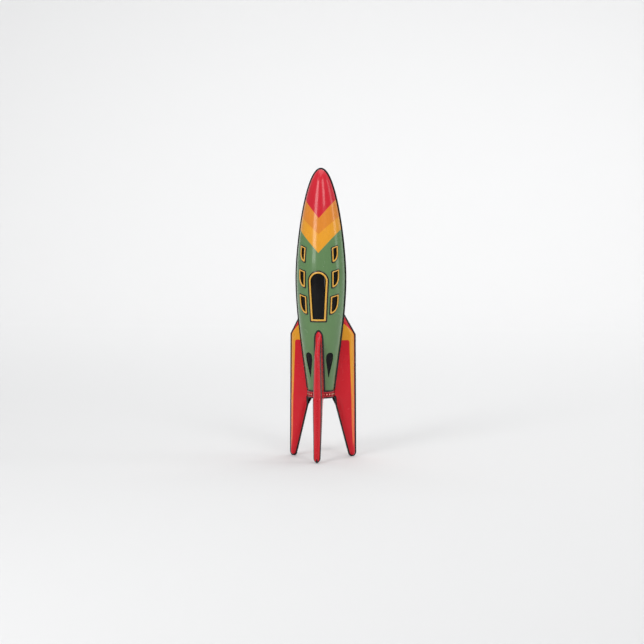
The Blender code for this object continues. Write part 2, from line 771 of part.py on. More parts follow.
def build_train():
    """Drive axle, middle shaft and flywheel shaft, each on its own axis, with their gears in mesh."""
    drive = new_axis("drive_axis", *DRIVE)
    middle = new_axis("middle_axis", *MIDDLE)
    flywheel = new_axis("flywheel_axis", *FLYWHEEL)
    to_middle = 180 - MIDDLE_SHAFT_RISE
    to_flywheel = 180 - FLYWHEEL_SHAFT_RISE
    half_pitch = 180 / PINION_TEETH
    axle_bore = AXLE_RADIUS + FIT_GAP
    shaft_bore = SHAFT_RADIUS + FIT_GAP
    gear("drive_gear", GEAR_TEETH, to_middle, GEAR_WIDTH, DRIVE_GEAR_X, axle_bore, brass, drive)
    gear(
        "middle_pinion", PINION_TEETH, to_middle + 180 + half_pitch, PINION_WIDTH,
        DRIVE_GEAR_X, shaft_bore, bare_steel, middle,
    )
    gear("middle_gear", GEAR_TEETH, to_flywheel, GEAR_WIDTH, MIDDLE_GEAR_X, shaft_bore, brass, middle)
    gear(
        "flywheel_pinion", PINION_TEETH, to_flywheel + 180 + half_pitch, PINION_WIDTH,
        MIDDLE_GEAR_X, shaft_bore, bare_steel, flywheel,
    )
    end = PLATE_OUTER_X + 1.2 * MM
    for name, axis in (("middle_shaft", middle), ("flywheel_shaft", flywheel)):
        pin(name, [(SHAFT_RADIUS, end, -end)], across(0), bare_steel, axis)
    face, back = FLYWHEEL_WIDTH / 2, -FLYWHEEL_WIDTH / 2
    rim = FLYWHEEL_RADIUS - 3 * MM
    dish = 1 * MM
    profile = [
        (shaft_bore, face), (rim - 1.5 * MM, face - dish), (rim, face), (FLYWHEEL_RADIUS, face),
        (FLYWHEEL_RADIUS, back), (rim, back), (rim - 1.5 * MM, back + dish), (shaft_bore, back),
    ]
    turned("flywheel", profile, across(FLYWHEEL_X), rocket, lead, flywheel, ring=True)
    outer = WHEEL_INNER_X + WHEEL_WIDTH
    cap = AXLE_RADIUS + 0.6 * MM
    sections = [
        (cap, outer + 0.9 * MM, outer + FIT_GAP),
        (AXLE_RADIUS, outer + FIT_GAP, -outer - FIT_GAP),
        (cap, -outer - FIT_GAP, -outer - 0.9 * MM),
    ]
    pin("drive_axle", sections, across(0), bare_steel, drive)
    for hand, sign in (("left", -1), ("right", 1)):
        centre = sign * (WHEEL_INNER_X + WHEEL_WIDTH / 2)
        wheel(hand, WHEEL_RADIUS, HUB_RADIUS, WHEEL_WIDTH, axle_bore, across(centre), drive)


def wheel(name, radius, hub_radius, width, bore, place, axis):
    """A dished tin hub in a rubber tyre."""
    half, lip, dish = width / 2, 1 * MM, width * 0.2
    boss = bore + 1.2 * MM
    hub = [
        (bore, half), (boss, half), (boss + lip, half - dish), (hub_radius - lip, half - dish),
        (hub_radius, half), (hub_radius, -half), (bore, -half),
    ]
    turned(name + "_hub", hub, place, rocket, red_tin, axis, ring=True)
    inside = hub_radius + FIT_GAP
    shoulder = 0.8 * MM
    tyre = [
        (inside, half), (radius - shoulder, half), (radius, half - shoulder),
        (radius, shoulder - half), (radius - shoulder, -half), (inside, -half),
    ]
    turned(name + "_tyre", tyre, place, rocket, rubber, axis, ring=True)


# Nose wheel ----------------------------------------------------------------------------------------


def build_nose_wheel(hull):
    """One wheel in a folded fork, which is held by four tabs through the hull."""
    axis = new_axis("nose_axis", NOSE_AXLE_Y, NOSE_AXLE_Z)
    bore = AXLE_RADIUS + FIT_GAP
    wheel("nose", NOSE_WHEEL_RADIUS, NOSE_HUB_RADIUS, NOSE_WHEEL_WIDTH, bore, across(0), axis)
    ear = FORK_GAP / 2 + FORK_THICKNESS / 2
    outside = FORK_GAP / 2 + FORK_THICKNESS + FIT_GAP
    cap = AXLE_RADIUS + 0.8 * MM
    sections = [
        (cap, outside + 0.7 * MM, outside),
        (AXLE_RADIUS, outside, -outside),
        (cap, -outside, -outside - 0.7 * MM),
    ]
    pin("nose_axle", sections, across(0), bare_steel, axis)
    half, tab = FORK_LENGTH / 2, FORK_TAB / 2
    depth = NOSE_AXLE_Y - NOSE_WHEEL_RADIUS - 1.8 * MM
    wall = {
        z: math.sqrt(inner_radius_at(NOSE_AXLE_Z + z) ** 2 - ear**2) - FIT_GAP for z in (-half, half)
    }
    through = hull_radius_at(NOSE_AXLE_Z - half) + 1.2 * MM
    tab_z = half - 2 * tab
    outline = [
        (depth, -half), (wall[half], -half), (wall[half], -tab_z - tab), (through, -tab_z - tab),
        (through, -tab_z + tab), (wall[half], -tab_z + tab), (wall[half], tab_z - tab),
        (through, tab_z - tab), (through, tab_z + tab), (wall[half], tab_z + tab),
        (wall[half], half), (depth, half),
    ]
    hole = circle(bore, NOSE_AXLE_Y)
    place = Matrix.Translation((0, 0, NOSE_AXLE_Z))
    right = prism("fork_ear", [outline, hole], FORK_THICKNESS, place @ across(ear), cutters)
    left = prism("nose_fork", [outline, hole], FORK_THICKNESS, place @ across(-ear), rocket, bare_steel)
    bridge = rectangle(FORK_THICKNESS, FORK_LENGTH * 0.6, depth + FORK_THICKNESS)
    base = prism("fork_bridge", [bridge], 2 * ear, place @ across(0), cutters)
    boolean(left, base, "UNION")
    boolean(left, right, "UNION")
    for x in (-ear, ear):
        for z in (-tab_z, tab_z):
            slot = rectangle(FORK_THICKNESS + 2 * FIT_GAP, FORK_TAB + 2 * FIT_GAP)
            name = f"fork_slot_{'left' if x < 0 else 'right'}_{'low' if z < 0 else 'high'}"
            at = facing(180, NOSE_AXLE_Z + z, HULL_RADIUS) @ Matrix.Translation((x, 0, 0))
            boolean(hull, prism(name, [slot], HULL_RADIUS, at, cutters))
    length = 2 * math.sqrt(NOSE_WHEEL_RADIUS**2 - (hull_radius_at(NOSE_AXLE_Z) - NOSE_AXLE_Y) ** 2)
    opening = rectangle(NOSE_WHEEL_WIDTH + 2 * MM, length + 5 * MM)
    at = facing(180, NOSE_AXLE_Z, HULL_RADIUS)
    boolean(hull, prism("nose_wheel_opening", [opening], HULL_RADIUS, at, cutters))


def cut_belly(hull):
    """The opening that the driven wheels and the motor look out of."""
    width = 2 * (WHEEL_INNER_X + WHEEL_WIDTH + BELLY_SIDE_CLEARANCE)
    opening = rectangle(width, 2 * (WHEEL_RADIUS + BELLY_END_CLEARANCE))
    place = facing(180, DRIVE_AXLE_Z, HULL_RADIUS)
    boolean(hull, prism("belly_opening", [opening], 2 * HULL_RADIUS - 4 * MM, place, cutters))


front = hull_half("hull_front", FRONT)
back = hull_half("hull_back", BACK)
build_windows(front)
build_fin("front_fin", FRONT_FIN_TOP, 0, FRONT_TABS, front)
build_fin("rear_right_fin", REAR_FIN_TOP, REAR_FIN_ANGLE, REAR_TABS, back)
build_fin("rear_left_fin", REAR_FIN_TOP, -REAR_FIN_ANGLE, REAR_TABS, back)
build_tail()
build_plates()
build_train()
build_nose_wheel(back)
cut_belly(back)
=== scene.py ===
import math

import bmesh
import bpy
import numpy
from mathutils import Matrix, Vector


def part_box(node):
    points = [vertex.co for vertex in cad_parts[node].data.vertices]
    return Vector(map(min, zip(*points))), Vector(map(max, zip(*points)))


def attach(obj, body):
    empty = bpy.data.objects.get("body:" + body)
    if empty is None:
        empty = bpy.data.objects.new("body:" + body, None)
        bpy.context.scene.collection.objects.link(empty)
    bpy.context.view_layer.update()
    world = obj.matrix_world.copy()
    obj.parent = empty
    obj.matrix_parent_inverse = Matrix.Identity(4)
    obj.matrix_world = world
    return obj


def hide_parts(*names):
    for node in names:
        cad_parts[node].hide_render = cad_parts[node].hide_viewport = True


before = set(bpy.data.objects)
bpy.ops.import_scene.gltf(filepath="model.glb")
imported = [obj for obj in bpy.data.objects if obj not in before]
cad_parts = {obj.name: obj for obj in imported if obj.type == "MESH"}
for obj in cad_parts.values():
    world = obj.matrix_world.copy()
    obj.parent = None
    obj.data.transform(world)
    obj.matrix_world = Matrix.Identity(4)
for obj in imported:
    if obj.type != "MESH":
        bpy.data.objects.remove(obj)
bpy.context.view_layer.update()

mm = 0.001
front, back = -1, 1
axisY = sum(corner.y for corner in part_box("tail_band")) / 2  # the hull's own axis, off the origin


def inMillimetres(**sizes):
    # single sizes and pairs, turned into metres
    return {
        name: tuple(part * mm for part in size) if isinstance(size, tuple) else size * mm
        for name, size in sizes.items()
    }


# stage: floor, lights and camera

stage = {
    "floorColour": (0.665, 0.665, 0.665),
    "floorFront": -4.0,
    "floorBack": 1.5,
    "wallHeight": 2.2,
    "sweepRadius": 0.7,
    "halfWidth": 5.0,
    "azimuth": 6.5,
    "elevation": 5.0,
    "distance": 2.212,
    "lens": 120,
    "aimSide": 1.1 * mm,
    "aimHeight": 141.4 * mm,
    "skyColour": (0.97, 0.98, 1, 1),
    "skyStrength": 0.42,
}
softboxes = {
    "keyBox": {"at": (-0.7, -1.3, 0.85), "size": (0.5, 1.2), "watts": 11, "toward": (0, 0, 0.15)},
    "fillBox": {"at": (0.75, -1.3, 1.25), "size": (0.5, 0.8), "watts": 6.5, "toward": (0, 0, 0.12)},
    "edgeBox": {"at": (1.5, 0.1, 0.6), "size": (0.4, 1.2), "watts": 4, "toward": (0, 0, 0.15)},
    "topBox": {"at": (0.1, -0.1, 1.5), "size": (1.4, 1.0), "watts": 8, "toward": (0, 0, 0.15)},
    "wallBox": {"at": (0, 1.35, 2.1), "size": (3.5, 0.5), "watts": 44, "toward": (0, 2.2, 0.9)},
}


def makeStage():
    arc = [math.pi / 2 * i / 16 for i in range(17)]
    radius = stage["sweepRadius"]
    line = [(stage["floorFront"], 0.0)]
    line += [(stage["floorBack"] + radius * math.sin(a), radius * (1 - math.cos(a))) for a in arc]
    line.append((stage["floorBack"] + radius, stage["wallHeight"]))
    corners = [(side * stage["halfWidth"], y, z) for y, z in line for side in (-1, 1)]
    faces = [(2 * i, 2 * i + 1, 2 * i + 3, 2 * i + 2) for i in range(len(line) - 1)]
    mesh = bpy.data.meshes.new("backdrop")
    mesh.from_pydata(corners, [], faces)
    mesh.shade_smooth()
    backdrop = bpy.data.objects.new("backdrop", mesh)
    bpy.context.scene.collection.objects.link(backdrop)
    paper = bpy.data.materials.new("backdropPaper")
    paper.use_nodes = True
    shader = paper.node_tree.nodes["Principled BSDF"]
    shader.inputs["Base Color"].default_value = (*stage["floorColour"], 1)
    shader.inputs["Roughness"].default_value = 0.75
    mesh.materials.append(paper)


def makeLights():
    for name, box in softboxes.items():
        light = bpy.data.lights.new(name, "AREA")
        light.shape = "RECTANGLE"
        light.size, light.size_y = box["size"]
        light.energy = box["watts"]
        lamp = bpy.data.objects.new(name, light)
        lamp.location = box["at"]
        aim = Vector(box["toward"]) - lamp.location
        lamp.rotation_euler = aim.to_track_quat("-Z", "Y").to_euler()
        bpy.context.scene.collection.objects.link(lamp)
    sky = bpy.data.worlds.new("studioSky")
    sky.use_nodes = True
    glow = sky.node_tree.nodes["Background"]
    glow.inputs["Color"].default_value = stage["skyColour"]
    glow.inputs["Strength"].default_value = stage["skyStrength"]
    bpy.context.scene.world = sky


def makeCamera():
    azimuth, elevation = math.radians(stage["azimuth"]), math.radians(stage["elevation"])
    right = Vector((math.cos(azimuth), math.sin(azimuth), 0))
    toCamera = Vector((math.sin(azimuth), -math.cos(azimuth), 0)) * math.cos(elevation)
    toCamera.z = math.sin(elevation)
    aim = Vector((0, axisY, stage["aimHeight"])) + right * stage["aimSide"]
    lens = bpy.data.cameras.new("studioCamera")
    lens.lens = stage["lens"]
    camera = bpy.data.objects.new("studioCamera", lens)
    camera.location = aim + toCamera * stage["distance"]
    camera.rotation_euler = toCamera.to_track_quat("Z", "Y").to_euler()
    bpy.context.scene.collection.objects.link(camera)
    bpy.context.scene.camera = camera
    bpy.context.scene.view_settings.view_transform = "Standard"


makeStage()
makeLights()
makeCamera()
print("stage: backdrop, softboxes and camera")


# shader building blocks

def plug(tree, socket, value):
    if isinstance(value, bpy.types.NodeSocket):
        tree.links.new(value, socket)
    else:
        socket.default_value = value


def addNode(tree, kind, inputs=None, **settings):
    # inputs: a value or another node's output for each socket, by its name or number
    node = tree.nodes.new(kind)
    for key, value in settings.items():
        setattr(node, key, value)
    for socket, value in (inputs or {}).items():
        plug(tree, node.inputs[socket], value)
    return node


def maths(tree, operation, *values):
    return addNode(tree, "ShaderNodeMath", dict(enumerate(values)), operation=operation).outputs[0]


def remap(tree, value, low, high, newLow=0.0, newHigh=1.0, smooth=False):
    names = ("Value", "From Min", "From Max", "To Min", "To Max")
    inputs = dict(zip(names, (value, low, high, newLow, newHigh)))
    way = "SMOOTHSTEP" if smooth else "LINEAR"
    node = addNode(tree, "ShaderNodeMapRange", inputs, clamp=True, interpolation_type=way)
    return node.outputs["Result"]


def mixInk(tree, factor, under, over, blend="MIX"):
    inputs = {0: factor, 6: under, 7: over}
    return addNode(tree, "ShaderNodeMix", inputs, data_type="RGBA", blend_type=blend).outputs[2]


def noise(tree, vector, scale, detail=2.0, distortion=0.0):
    inputs = {"Vector": vector, "Scale": scale, "Detail": detail, "Distortion": distortion}
    return addNode(tree, "ShaderNodeTexNoise", inputs).outputs["Fac"]


def objectPlace(tree):
    return addNode(tree, "ShaderNodeTexCoord").outputs["Object"]


def stretched(tree, vector, scale, turn=(0, 0, 0)):
    inputs = {"Vector": vector, "Scale": scale, "Rotation": turn}
    return addNode(tree, "ShaderNodeMapping", inputs).outputs[0]


def attribute(tree, name):
    return addNode(tree, "ShaderNodeAttribute", attribute_name=name).outputs["Fac"]


def linear(red, green, blue):
    shares = [channel / 255 for channel in (red, green, blue)]
    return (*[s / 12.92 if s < 0.04045 else ((s + 0.055) / 1.055) ** 2.4 for s in shares], 1.0)


def newGroup(name, inputs, outputs):
    group = bpy.data.node_groups.new(name, "ShaderNodeTree")
    for label, kind in inputs:
        group.interface.new_socket(name=label, in_out="INPUT", socket_type=kind)
    for label, kind in outputs:
        group.interface.new_socket(name=label, in_out="OUTPUT", socket_type=kind)
    return group, addNode(group, "NodeGroupInput"), addNode(group, "NodeGroupOutput")


number, colour = "NodeSocketFloat", "NodeSocketColor"
varnish = {  # scales are for each metre
    "toneScale": 1500,
    "patchScale": 38,
    "smudgeScale": 70,
    "roughness": (0.2, 0.3),
    "chipScale": 900,
    "chipStart": (0.86, 0.9),
    "chipRoughness": 0.12,
    "chipDepth": 0.02 * mm,
    "scratchColour": (0.8, 0.78, 0.72, 1),
    "scratchShow": 0.22,
    "scratchRoughness": 0.15,
    "waveScale": 42,
    "waveDepth": 0.11 * mm,
    "peelScale": 650,
    "peelDepth": 0.0035 * mm,
    "coatRoughness": 0.06,
}
working = {
    "grainScale": (2600, 2600, 90),
    "grainDepth": 0.006 * mm,
    "roughness": (0.2, 0.36),
    "spotScale": 240,
    "spotRoughness": 0.35,
    "tarnish": linear(78, 66, 52),
}
tinColour = linear(188, 184, 174)


def makeLithoGroup():
    # printed and varnished tin: ink tone, smudged varnish, hair scratches and chipped edges
    group, given, result = newGroup(
        "varnishedInk",
        (("Ink", colour), ("Edge", number), ("Wear", number)),
        (("Colour", colour), ("Metal", number), ("Roughness", number), ("Height", number)),
    )
    v = varnish
    place = objectPlace(group)
    tone = remap(group, noise(group, place, v["toneScale"], 3), 0.3, 0.7, 0.965, 1.02)
    patch = remap(group, noise(group, place, v["patchScale"], 3), 0.3, 0.7, 0.96, 1.02)
    smudge = remap(group, noise(group, place, v["smudgeScale"], 5, 0.8), 0.42, 0.68)
    chips = maths(group, "MULTIPLY", given.outputs["Edge"], given.outputs["Wear"])
    chips = maths(group, "ADD", chips, noise(group, place, v["chipScale"], 5))
    chips = remap(group, chips, *v["chipStart"])
    lines = noise(group, stretched(group, place, (900, 900, 14), (0.3, 0.12, 0)), 1)
    cross = noise(group, stretched(group, place, (16, 1100, 1100), (0.0, 0.5, 0.2)), 1)
    lines, cross = remap(group, lines, 0.735, 0.76), remap(group, cross, 0.75, 0.775)
    handled = remap(group, noise(group, place, 26), 0.48, 0.62)
    scratches = maths(group, "MULTIPLY", maths(group, "MAXIMUM", lines, cross), handled)
    shade = maths(group, "MULTIPLY", tone, patch)
    grey = addNode(group, "ShaderNodeCombineColor", {0: shade, 1: shade, 2: shade})
    ink = mixInk(group, 1.0, given.outputs["Ink"], grey.outputs[0], "MULTIPLY")
    seen = maths(group, "MULTIPLY", scratches, v["scratchShow"])
    ink = mixInk(group, seen, ink, v["scratchColour"])
    rough = remap(group, smudge, 0, 1, *v["roughness"])
    rough = maths(group, "MULTIPLY_ADD", scratches, v["scratchRoughness"], rough)
    waves = maths(group, "MULTIPLY", noise(group, place, v["waveScale"], 1), v["waveDepth"])
    peel = noise(group, place, v["peelScale"])
    relief = maths(group, "MULTIPLY_ADD", peel, v["peelDepth"], waves)
    for name, value in (
        ("Colour", mixInk(group, chips, ink, tinColour)),
        ("Metal", chips),
        ("Roughness", maths(group, "MULTIPLY_ADD", chips, v["chipRoughness"], rough)),
        ("Height", maths(group, "MULTIPLY_ADD", chips, -v["chipDepth"], relief)),
    ):
        plug(group, result.inputs[name], value)
    return group


def makeMetalGroup():
    # rolled or turned metal: fine grain along one way, tarnish and handling marks
    group, given, result = newGroup(
        "workedMetal",
        (("Metal", colour), ("Grain", number), ("Tarnish", number)),
        (("Colour", colour), ("Roughness", number), ("Height", number)),
    )
    place = objectPlace(group)
    grain = noise(group, stretched(group, place, working["grainScale"]), 1, 3)
    spots = remap(group, noise(group, place, working["spotScale"], 5, 0.5), 0.5, 0.72)
    spots = maths(group, "MULTIPLY", spots, given.outputs["Tarnish"])
    rough = remap(group, grain, 0.3, 0.7, *working["roughness"])
    relief = maths(group, "MULTIPLY", grain, given.outputs["Grain"])
    for name, value in (
        ("Colour", mixInk(group, spots, given.outputs["Metal"], working["tarnish"])),
        ("Roughness", maths(group, "MULTIPLY_ADD", spots, working["spotRoughness"], rough)),
        ("Height", maths(group, "MULTIPLY", relief, working["grainDepth"])),
    ):
        plug(group, result.inputs[name], value)
    return group


lithoGroup = makeLithoGroup()
metalGroup = makeMetalGroup()


def newMaterial(name, metallic=0.0, coat=0.0):
    made = bpy.data.materials.new(name)
    made.use_nodes = True
    shader = made.node_tree.nodes["Principled BSDF"]
    shader.inputs["Metallic"].default_value = metallic
    shader.inputs["Coat Weight"].default_value = coat
    shader.inputs["Coat Roughness"].default_value = varnish["coatRoughness"]
    return made, made.node_tree, shader


def finished(tree, shader, height, **sources):
    # links what changes over the surface to the shader, with the height as a bump
    for socket, source in sources.items():
        plug(tree, shader.inputs[socket.replace("_", " ")], source)
    bump = addNode(tree, "ShaderNodeBump", {"Distance": 1.0, "Height": height})
    plug(tree, shader.inputs["Normal"], bump.outputs["Normal"])


def lithoMaterial(name, paint, wear=0.35, gloss=0.3):
    # paint(tree) gives the ink's colour as a socket or a fixed colour
    made, tree, shader = newMaterial(name, coat=gloss)
    shader.inputs["Specular IOR Level"].default_value = gloss
    inputs = {"Ink": paint(tree), "Edge": attribute(tree, "edge"), "Wear": wear}
    out = addNode(tree, "ShaderNodeGroup", inputs, node_tree=lithoGroup).outputs
    looks = {"Base_Color": out["Colour"], "Metallic": out["Metal"], "Roughness": out["Roughness"]}
    finished(tree, shader, out["Height"], **looks)
    return made


def metalMaterial(name, rgb, grain=1.0, tarnish=0.3):
    made, tree, shader = newMaterial(name, metallic=1.0)
    inputs = {"Metal": linear(*rgb), "Grain": grain, "Tarnish": tarnish}
    out = addNode(tree, "ShaderNodeGroup", inputs, node_tree=metalGroup).outputs
    finished(tree, shader, out["Height"], Base_Color=out["Colour"], Roughness=out["Roughness"])
    return made


inks = {
    "red": linear(198, 26, 44),
    "finRed": linear(203, 20, 36),
    "orange": linear(216, 131, 40),
    "yellow": linear(226, 154, 38),
    "stripeFoot": linear(240, 108, 58),
    "frameYellow": linear(220, 166, 64),
    "green": linear(95, 129, 83),
    "black": linear(14, 13, 15),
    "pale": linear(236, 214, 176),
}
chevrons = {  # ink above it, height on the middle line, and rise for each unit to the side
    "redOverOrange": ("red", 249.1 * mm, 1.17),
    "orangeOverYellow": ("orange", 233.0 * mm, 0.9),
    "yellowOverGreen": ("yellow", 213.9 * mm, 1.11),
}
inkLines = inMillimetres(seam=1.9, frame=0.98)  # how far in the black lines reach
stripeFade = inMillimetres(foot=(8, 20), length=(20, 95))  # from and to, up the fin
printBlur = 0.1 * mm


def printed(tree, distance):
    return remap(tree, distance, -printBlur, printBlur, smooth=True)


def keylined(tree, ink):
    return mixInk(tree, printed(tree, attribute(tree, "keyline")), ink, inks["black"])


def splitPlace(tree):
    return addNode(tree, "ShaderNodeSeparateXYZ", {0: objectPlace(tree)}).outputs


def paintHull(tree):
    place = splitPlace(tree)
    aside = maths(tree, "ABSOLUTE", place["X"])
    ink = inks["green"]
    for over, height, rise in reversed(chevrons.values()):
        edge = maths(tree, "MULTIPLY_ADD", aside, rise, height)
        above = maths(tree, "SUBTRACT", place["Z"], edge)
        ink = mixInk(tree, printed(tree, above), ink, inks[over])
    return keylined(tree, ink)


def paintFin(tree):
    height = splitPlace(tree)["Z"]
    foot, fade = (remap(tree, height, *ends, smooth=True) for ends in stripeFade.values())
    stripe = mixInk(tree, fade, inks["stripeFoot"], inks["yellow"])
    stripe = mixInk(tree, foot, inks["finRed"], stripe)
    ink = mixInk(tree, printed(tree, attribute(tree, "stripe")), inks["finRed"], stripe)
    return keylined(tree, ink)


def paintPlain(ink):
    return lambda tree: keylined(tree, inks[ink])


hullLitho = lithoMaterial("hullLitho", paintHull, 0.22, 0.28)
finLitho = lithoMaterial("finLitho", paintFin, 0.25, 0.2)
bandLitho = lithoMaterial("bandLitho", paintPlain("finRed"))
frameLitho = lithoMaterial("frameLitho", paintPlain("frameYellow"), 0.3)
blackLacquer = lithoMaterial("blackLacquer", lambda tree: inks["black"], 0.2, 0.1)
hubLitho = lithoMaterial("hubLitho", paintPlain("finRed"), 0.4)
paleInk = lithoMaterial("paleInk", lambda tree: inks["pale"], 0.2)
bareTin = metalMaterial("bareTin", (196, 194, 188), 0.6, 0.25)
plateSteel = metalMaterial("plateSteel", (178, 178, 176), 1.0, 0.35)
stampedBrass = metalMaterial("stampedBrass", (196, 158, 86), 0.8, 0.45)
castGrey = metalMaterial("castGrey", (112, 113, 118), 2.0, 0.8)


def makeRubber():
    made, tree, shader = newMaterial("tyreRubber")
    place = objectPlace(tree)
    dust = remap(tree, noise(tree, place, 210, 5), 0.5, 0.75)
    dusty = mixInk(tree, dust, linear(24, 24, 25), linear(58, 56, 53))
    dull = remap(tree, noise(tree, place, 420, 3), 0.3, 0.7, 0.62, 0.82)
    grain = maths(tree, "MULTIPLY", noise(tree, place, 1600, 3), 0.012 * mm)
    finished(tree, shader, grain, Base_Color=dusty, Roughness=dull)
    return made


tyreRubber = makeRubber()
print("materials: printed tin, bare tin, steel, brass, cast metal and rubber")


# mesh building blocks

def newPiece(name, mesh, *materials):
    piece = bpy.data.objects.new(name, mesh)
    bpy.context.scene.collection.objects.link(piece)
    for material in materials:
        mesh.materials.append(material)
    return piece


def freeze(piece):
    # what the modifiers give becomes the piece's own mesh
    graph = bpy.context.evaluated_depsgraph_get()
    mesh = bpy.data.meshes.new_from_object(piece.evaluated_get(graph))
    piece.modifiers.clear()
    piece.data = mesh
    return piece


def smooth(mesh, degrees=35):
    mesh.shade_smooth()
    mesh.set_sharp_from_angle(angle=math.radians(degrees))


def addTin(piece):
    # a wall of the tin's thickness inside the skin, bare on its inner face
    wall = piece.modifiers.new("tin", "SOLIDIFY")
    wall.thickness = seam["tin"]
    wall.offset = -1
    wall.use_even_offset = True
    wall.material_offset = 1
    wall.material_offset_rim = 0


def settle(piece, body, slot, *nodes):
    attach(piece, body)
    if nodes:
        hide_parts(*nodes)
    return piece


def gridMesh(name, points, closeAcross=False, closeAlong=False, flip=False):
    # points: rows x columns x 3
    rows, columns = len(points), len(points[0])
    faces = []
    for r in range(rows if closeAlong else rows - 1):
        for c in range(columns if closeAcross else columns - 1):
            r2, c2 = (r + 1) % rows, (c + 1) % columns
            face = (r * columns + c, r * columns + c2, r2 * columns + c2, r2 * columns + c)
            faces.append(face[::-1] if flip else face)
    mesh = bpy.data.meshes.new(name)
    mesh.from_pydata(numpy.reshape(points, (-1, 3)).tolist(), [], faces)
    return mesh


def weld(mesh, outward=False):
    bm = bmesh.new()
    bm.from_mesh(mesh)
    bmesh.ops.remove_doubles(bm, verts=bm.verts, dist=1e-6)
    bmesh.ops.dissolve_degenerate(bm, edges=bm.edges, dist=1e-7)
    if outward:
        bmesh.ops.recalc_face_normals(bm, faces=bm.faces)
    bm.to_mesh(mesh)
    bm.free()


def places(mesh, place=None):
    # every point of a mesh, or where it lies in place's own axes
    flat = numpy.zeros(len(mesh.vertices) * 3)
    mesh.vertices.foreach_get("co", flat)
    found = flat.reshape(-1, 3)
    if place is None:
        return found
    inverse = numpy.array(place.inverted())
    return found @ inverse[:3, :3].T + inverse[:3, 3]


def setAttribute(mesh, name, values):
    layer = mesh.attributes.new(name, "FLOAT", "POINT")
    layer.data.foreach_set("value", numpy.asarray(values, numpy.float32))


def facing(degrees, height=0.0):
    # own X to the right, own Y up and own Z out of the hull, degrees round from the front
    angle = math.radians(degrees)
    right = Vector((math.cos(angle), math.sin(angle), 0))
    out = Vector((math.sin(angle), -math.cos(angle), 0))
    turn = Matrix((right, Vector((0, 0, 1)), out)).transposed().to_4x4()
    return Matrix.Translation((0, axisY, height)) @ turn


def middleOf(node):
    low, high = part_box(node)
    return (low + high) / 2


def upright(height=0.0):
    # a place on the hull's axis, with its own Z up
    return Matrix.Translation((0, axisY, height))


def bentCorner(before, here, after, radius, share, steps, even=False):
    # a curve in place of a corner, from at most radius and share of each side away from it
    a, p, b = Vector(before), Vector(here), Vector(after)
    reaches = [min(radius, (end - p).length * share) for end in (a, b)]
    if even:
        reaches = [min(reaches)] * 2
    start, end = p + (a - p).normalized() * reaches[0], p + (b - p).normalized() * reaches[1]
    shares = [i / steps for i in range(steps + 1)]
    return [tuple(start * (1 - t) ** 2 + p * 2 * t * (1 - t) + end * t * t) for t in shares]


def softened(profile, radius, steps=3):
    # rounds the inner corners of an open line
    line = [profile[0]]
    for corner in zip(profile, profile[1:], profile[2:]):
        line += bentCorner(*corner, radius, 1 / 3, steps, even=True)
    return line + [profile[-1]]


def roundedLoop(loop, corners, radius, steps=5):
    # a closed outline with the named corners rounded
    made = []
    for i, here in enumerate(loop):
        after = loop[(i + 1) % len(loop)]
        bent = i in corners
        made += bentCorner(loop[i - 1], here, after, radius, 0.45, steps) if bent else [here]
    return made


def turnedPiece(name, profile, place, *materials, rounding=0.25 * mm, steps=72, closed=False):
    # a profile of (radius, height), turned about the place's own Z
    if closed:
        middle = tuple((Vector(profile[0]) + Vector(profile[-1])) / 2)
        profile = [middle, *profile, middle]
    line = softened(profile, rounding) if rounding else profile
    turns = [2 * math.pi * i / steps for i in range(steps)]
    grid = [[(r * math.cos(a), r * math.sin(a), h) for a in turns] for r, h in line]
    mesh = gridMesh(name, grid, closeAcross=True)
    weld(mesh, outward=True)
    mesh.transform(place)
    smooth(mesh, 40)
    return newPiece(name, mesh, *materials)


# hull shape

seam = inMillimetres(flange=1.3, tin=0.4, halfGap=0.01, endHeight=73.2)
hullShape = inMillimetres(
    bluntness=15, shoulderHeight=220, widestHeight=187, waistHeight=148,
    tailPull=(17.3, 105), tailEnd=(12.7, 65),
)
noseSteps, tailSteps = 110, 90
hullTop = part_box("hull_front")[1]
widest, noseTop = hullTop.x - seam["flange"], hullTop.z - seam["flange"]
shoulder, girth = (widest, hullShape["shoulderHeight"]), (widest, hullShape["widestHeight"])
hullArcs = (
    ((0, noseTop), (hullShape["bluntness"], noseTop), shoulder, girth),
    (girth, (widest, hullShape["waistHeight"]), hullShape["tailPull"], hullShape["tailEnd"]),
)
seamFace = seam["halfGap"] + seam["tin"]


def arcPoint(arc, t):
    weights = ((1 - t) ** 3, 3 * (1 - t) ** 2 * t, 3 * (1 - t) * t**2, t**3)
    return [sum(w * point[k] for w, point in zip(weights, arc)) for k in (0, 1)]


profileSteps = [arcPoint(hullArcs[0], i / noseSteps) for i in range(noseSteps)]
profileSteps += [arcPoint(hullArcs[1], i / tailSteps) for i in range(tailSteps + 1)]
profileRadii, profileHeights = numpy.transpose(profileSteps)


def radiusAt(height):
    return numpy.interp(height, profileHeights[::-1], profileRadii[::-1])


def reachAt(edge, height):
    # how far from the axis a line of (reach, height) from the foot up runs
    return numpy.interp(height, [z for _, z in edge], [r for r, _ in edge])


# fins: sizes shared by their skins and by the keylines printed round their seats

finShape = inMillimetres(
    reach=40, tipRadius=4.6, footWidth=3, flange=1.4, ramp=8, bulgeFoot=3.1, bulgeWaist=4.3,
    bulgeTop=2.7, shoulderIn=0.8, slopeHeight=24.2, opening=9, topRound=4, topLap=0.6,
    topWidth=1, seatLine=1.7, bandBottom=63.4, bandTop=71.8, tailHeight=65, gap=0.3,
    bandThickness=0.6,
)
fins = {
    "frontFin": {"node": "front_fin", "turn": 0, "stripe": False, "wear": 0.5},
    "rearRightFin": {"node": "rear_right_fin", "turn": 120, "stripe": True, "wear": 1.0},
    "rearLeftFin": {"node": "rear_left_fin", "turn": -120, "stripe": True, "wear": 1.0},
}
for fin in fins.values():
    fin["top"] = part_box(fin["node"] + "_left_skin")[1].z


def rounded(share):
    return 1 - (1 - numpy.clip(share, 0, 1)) ** 2.2


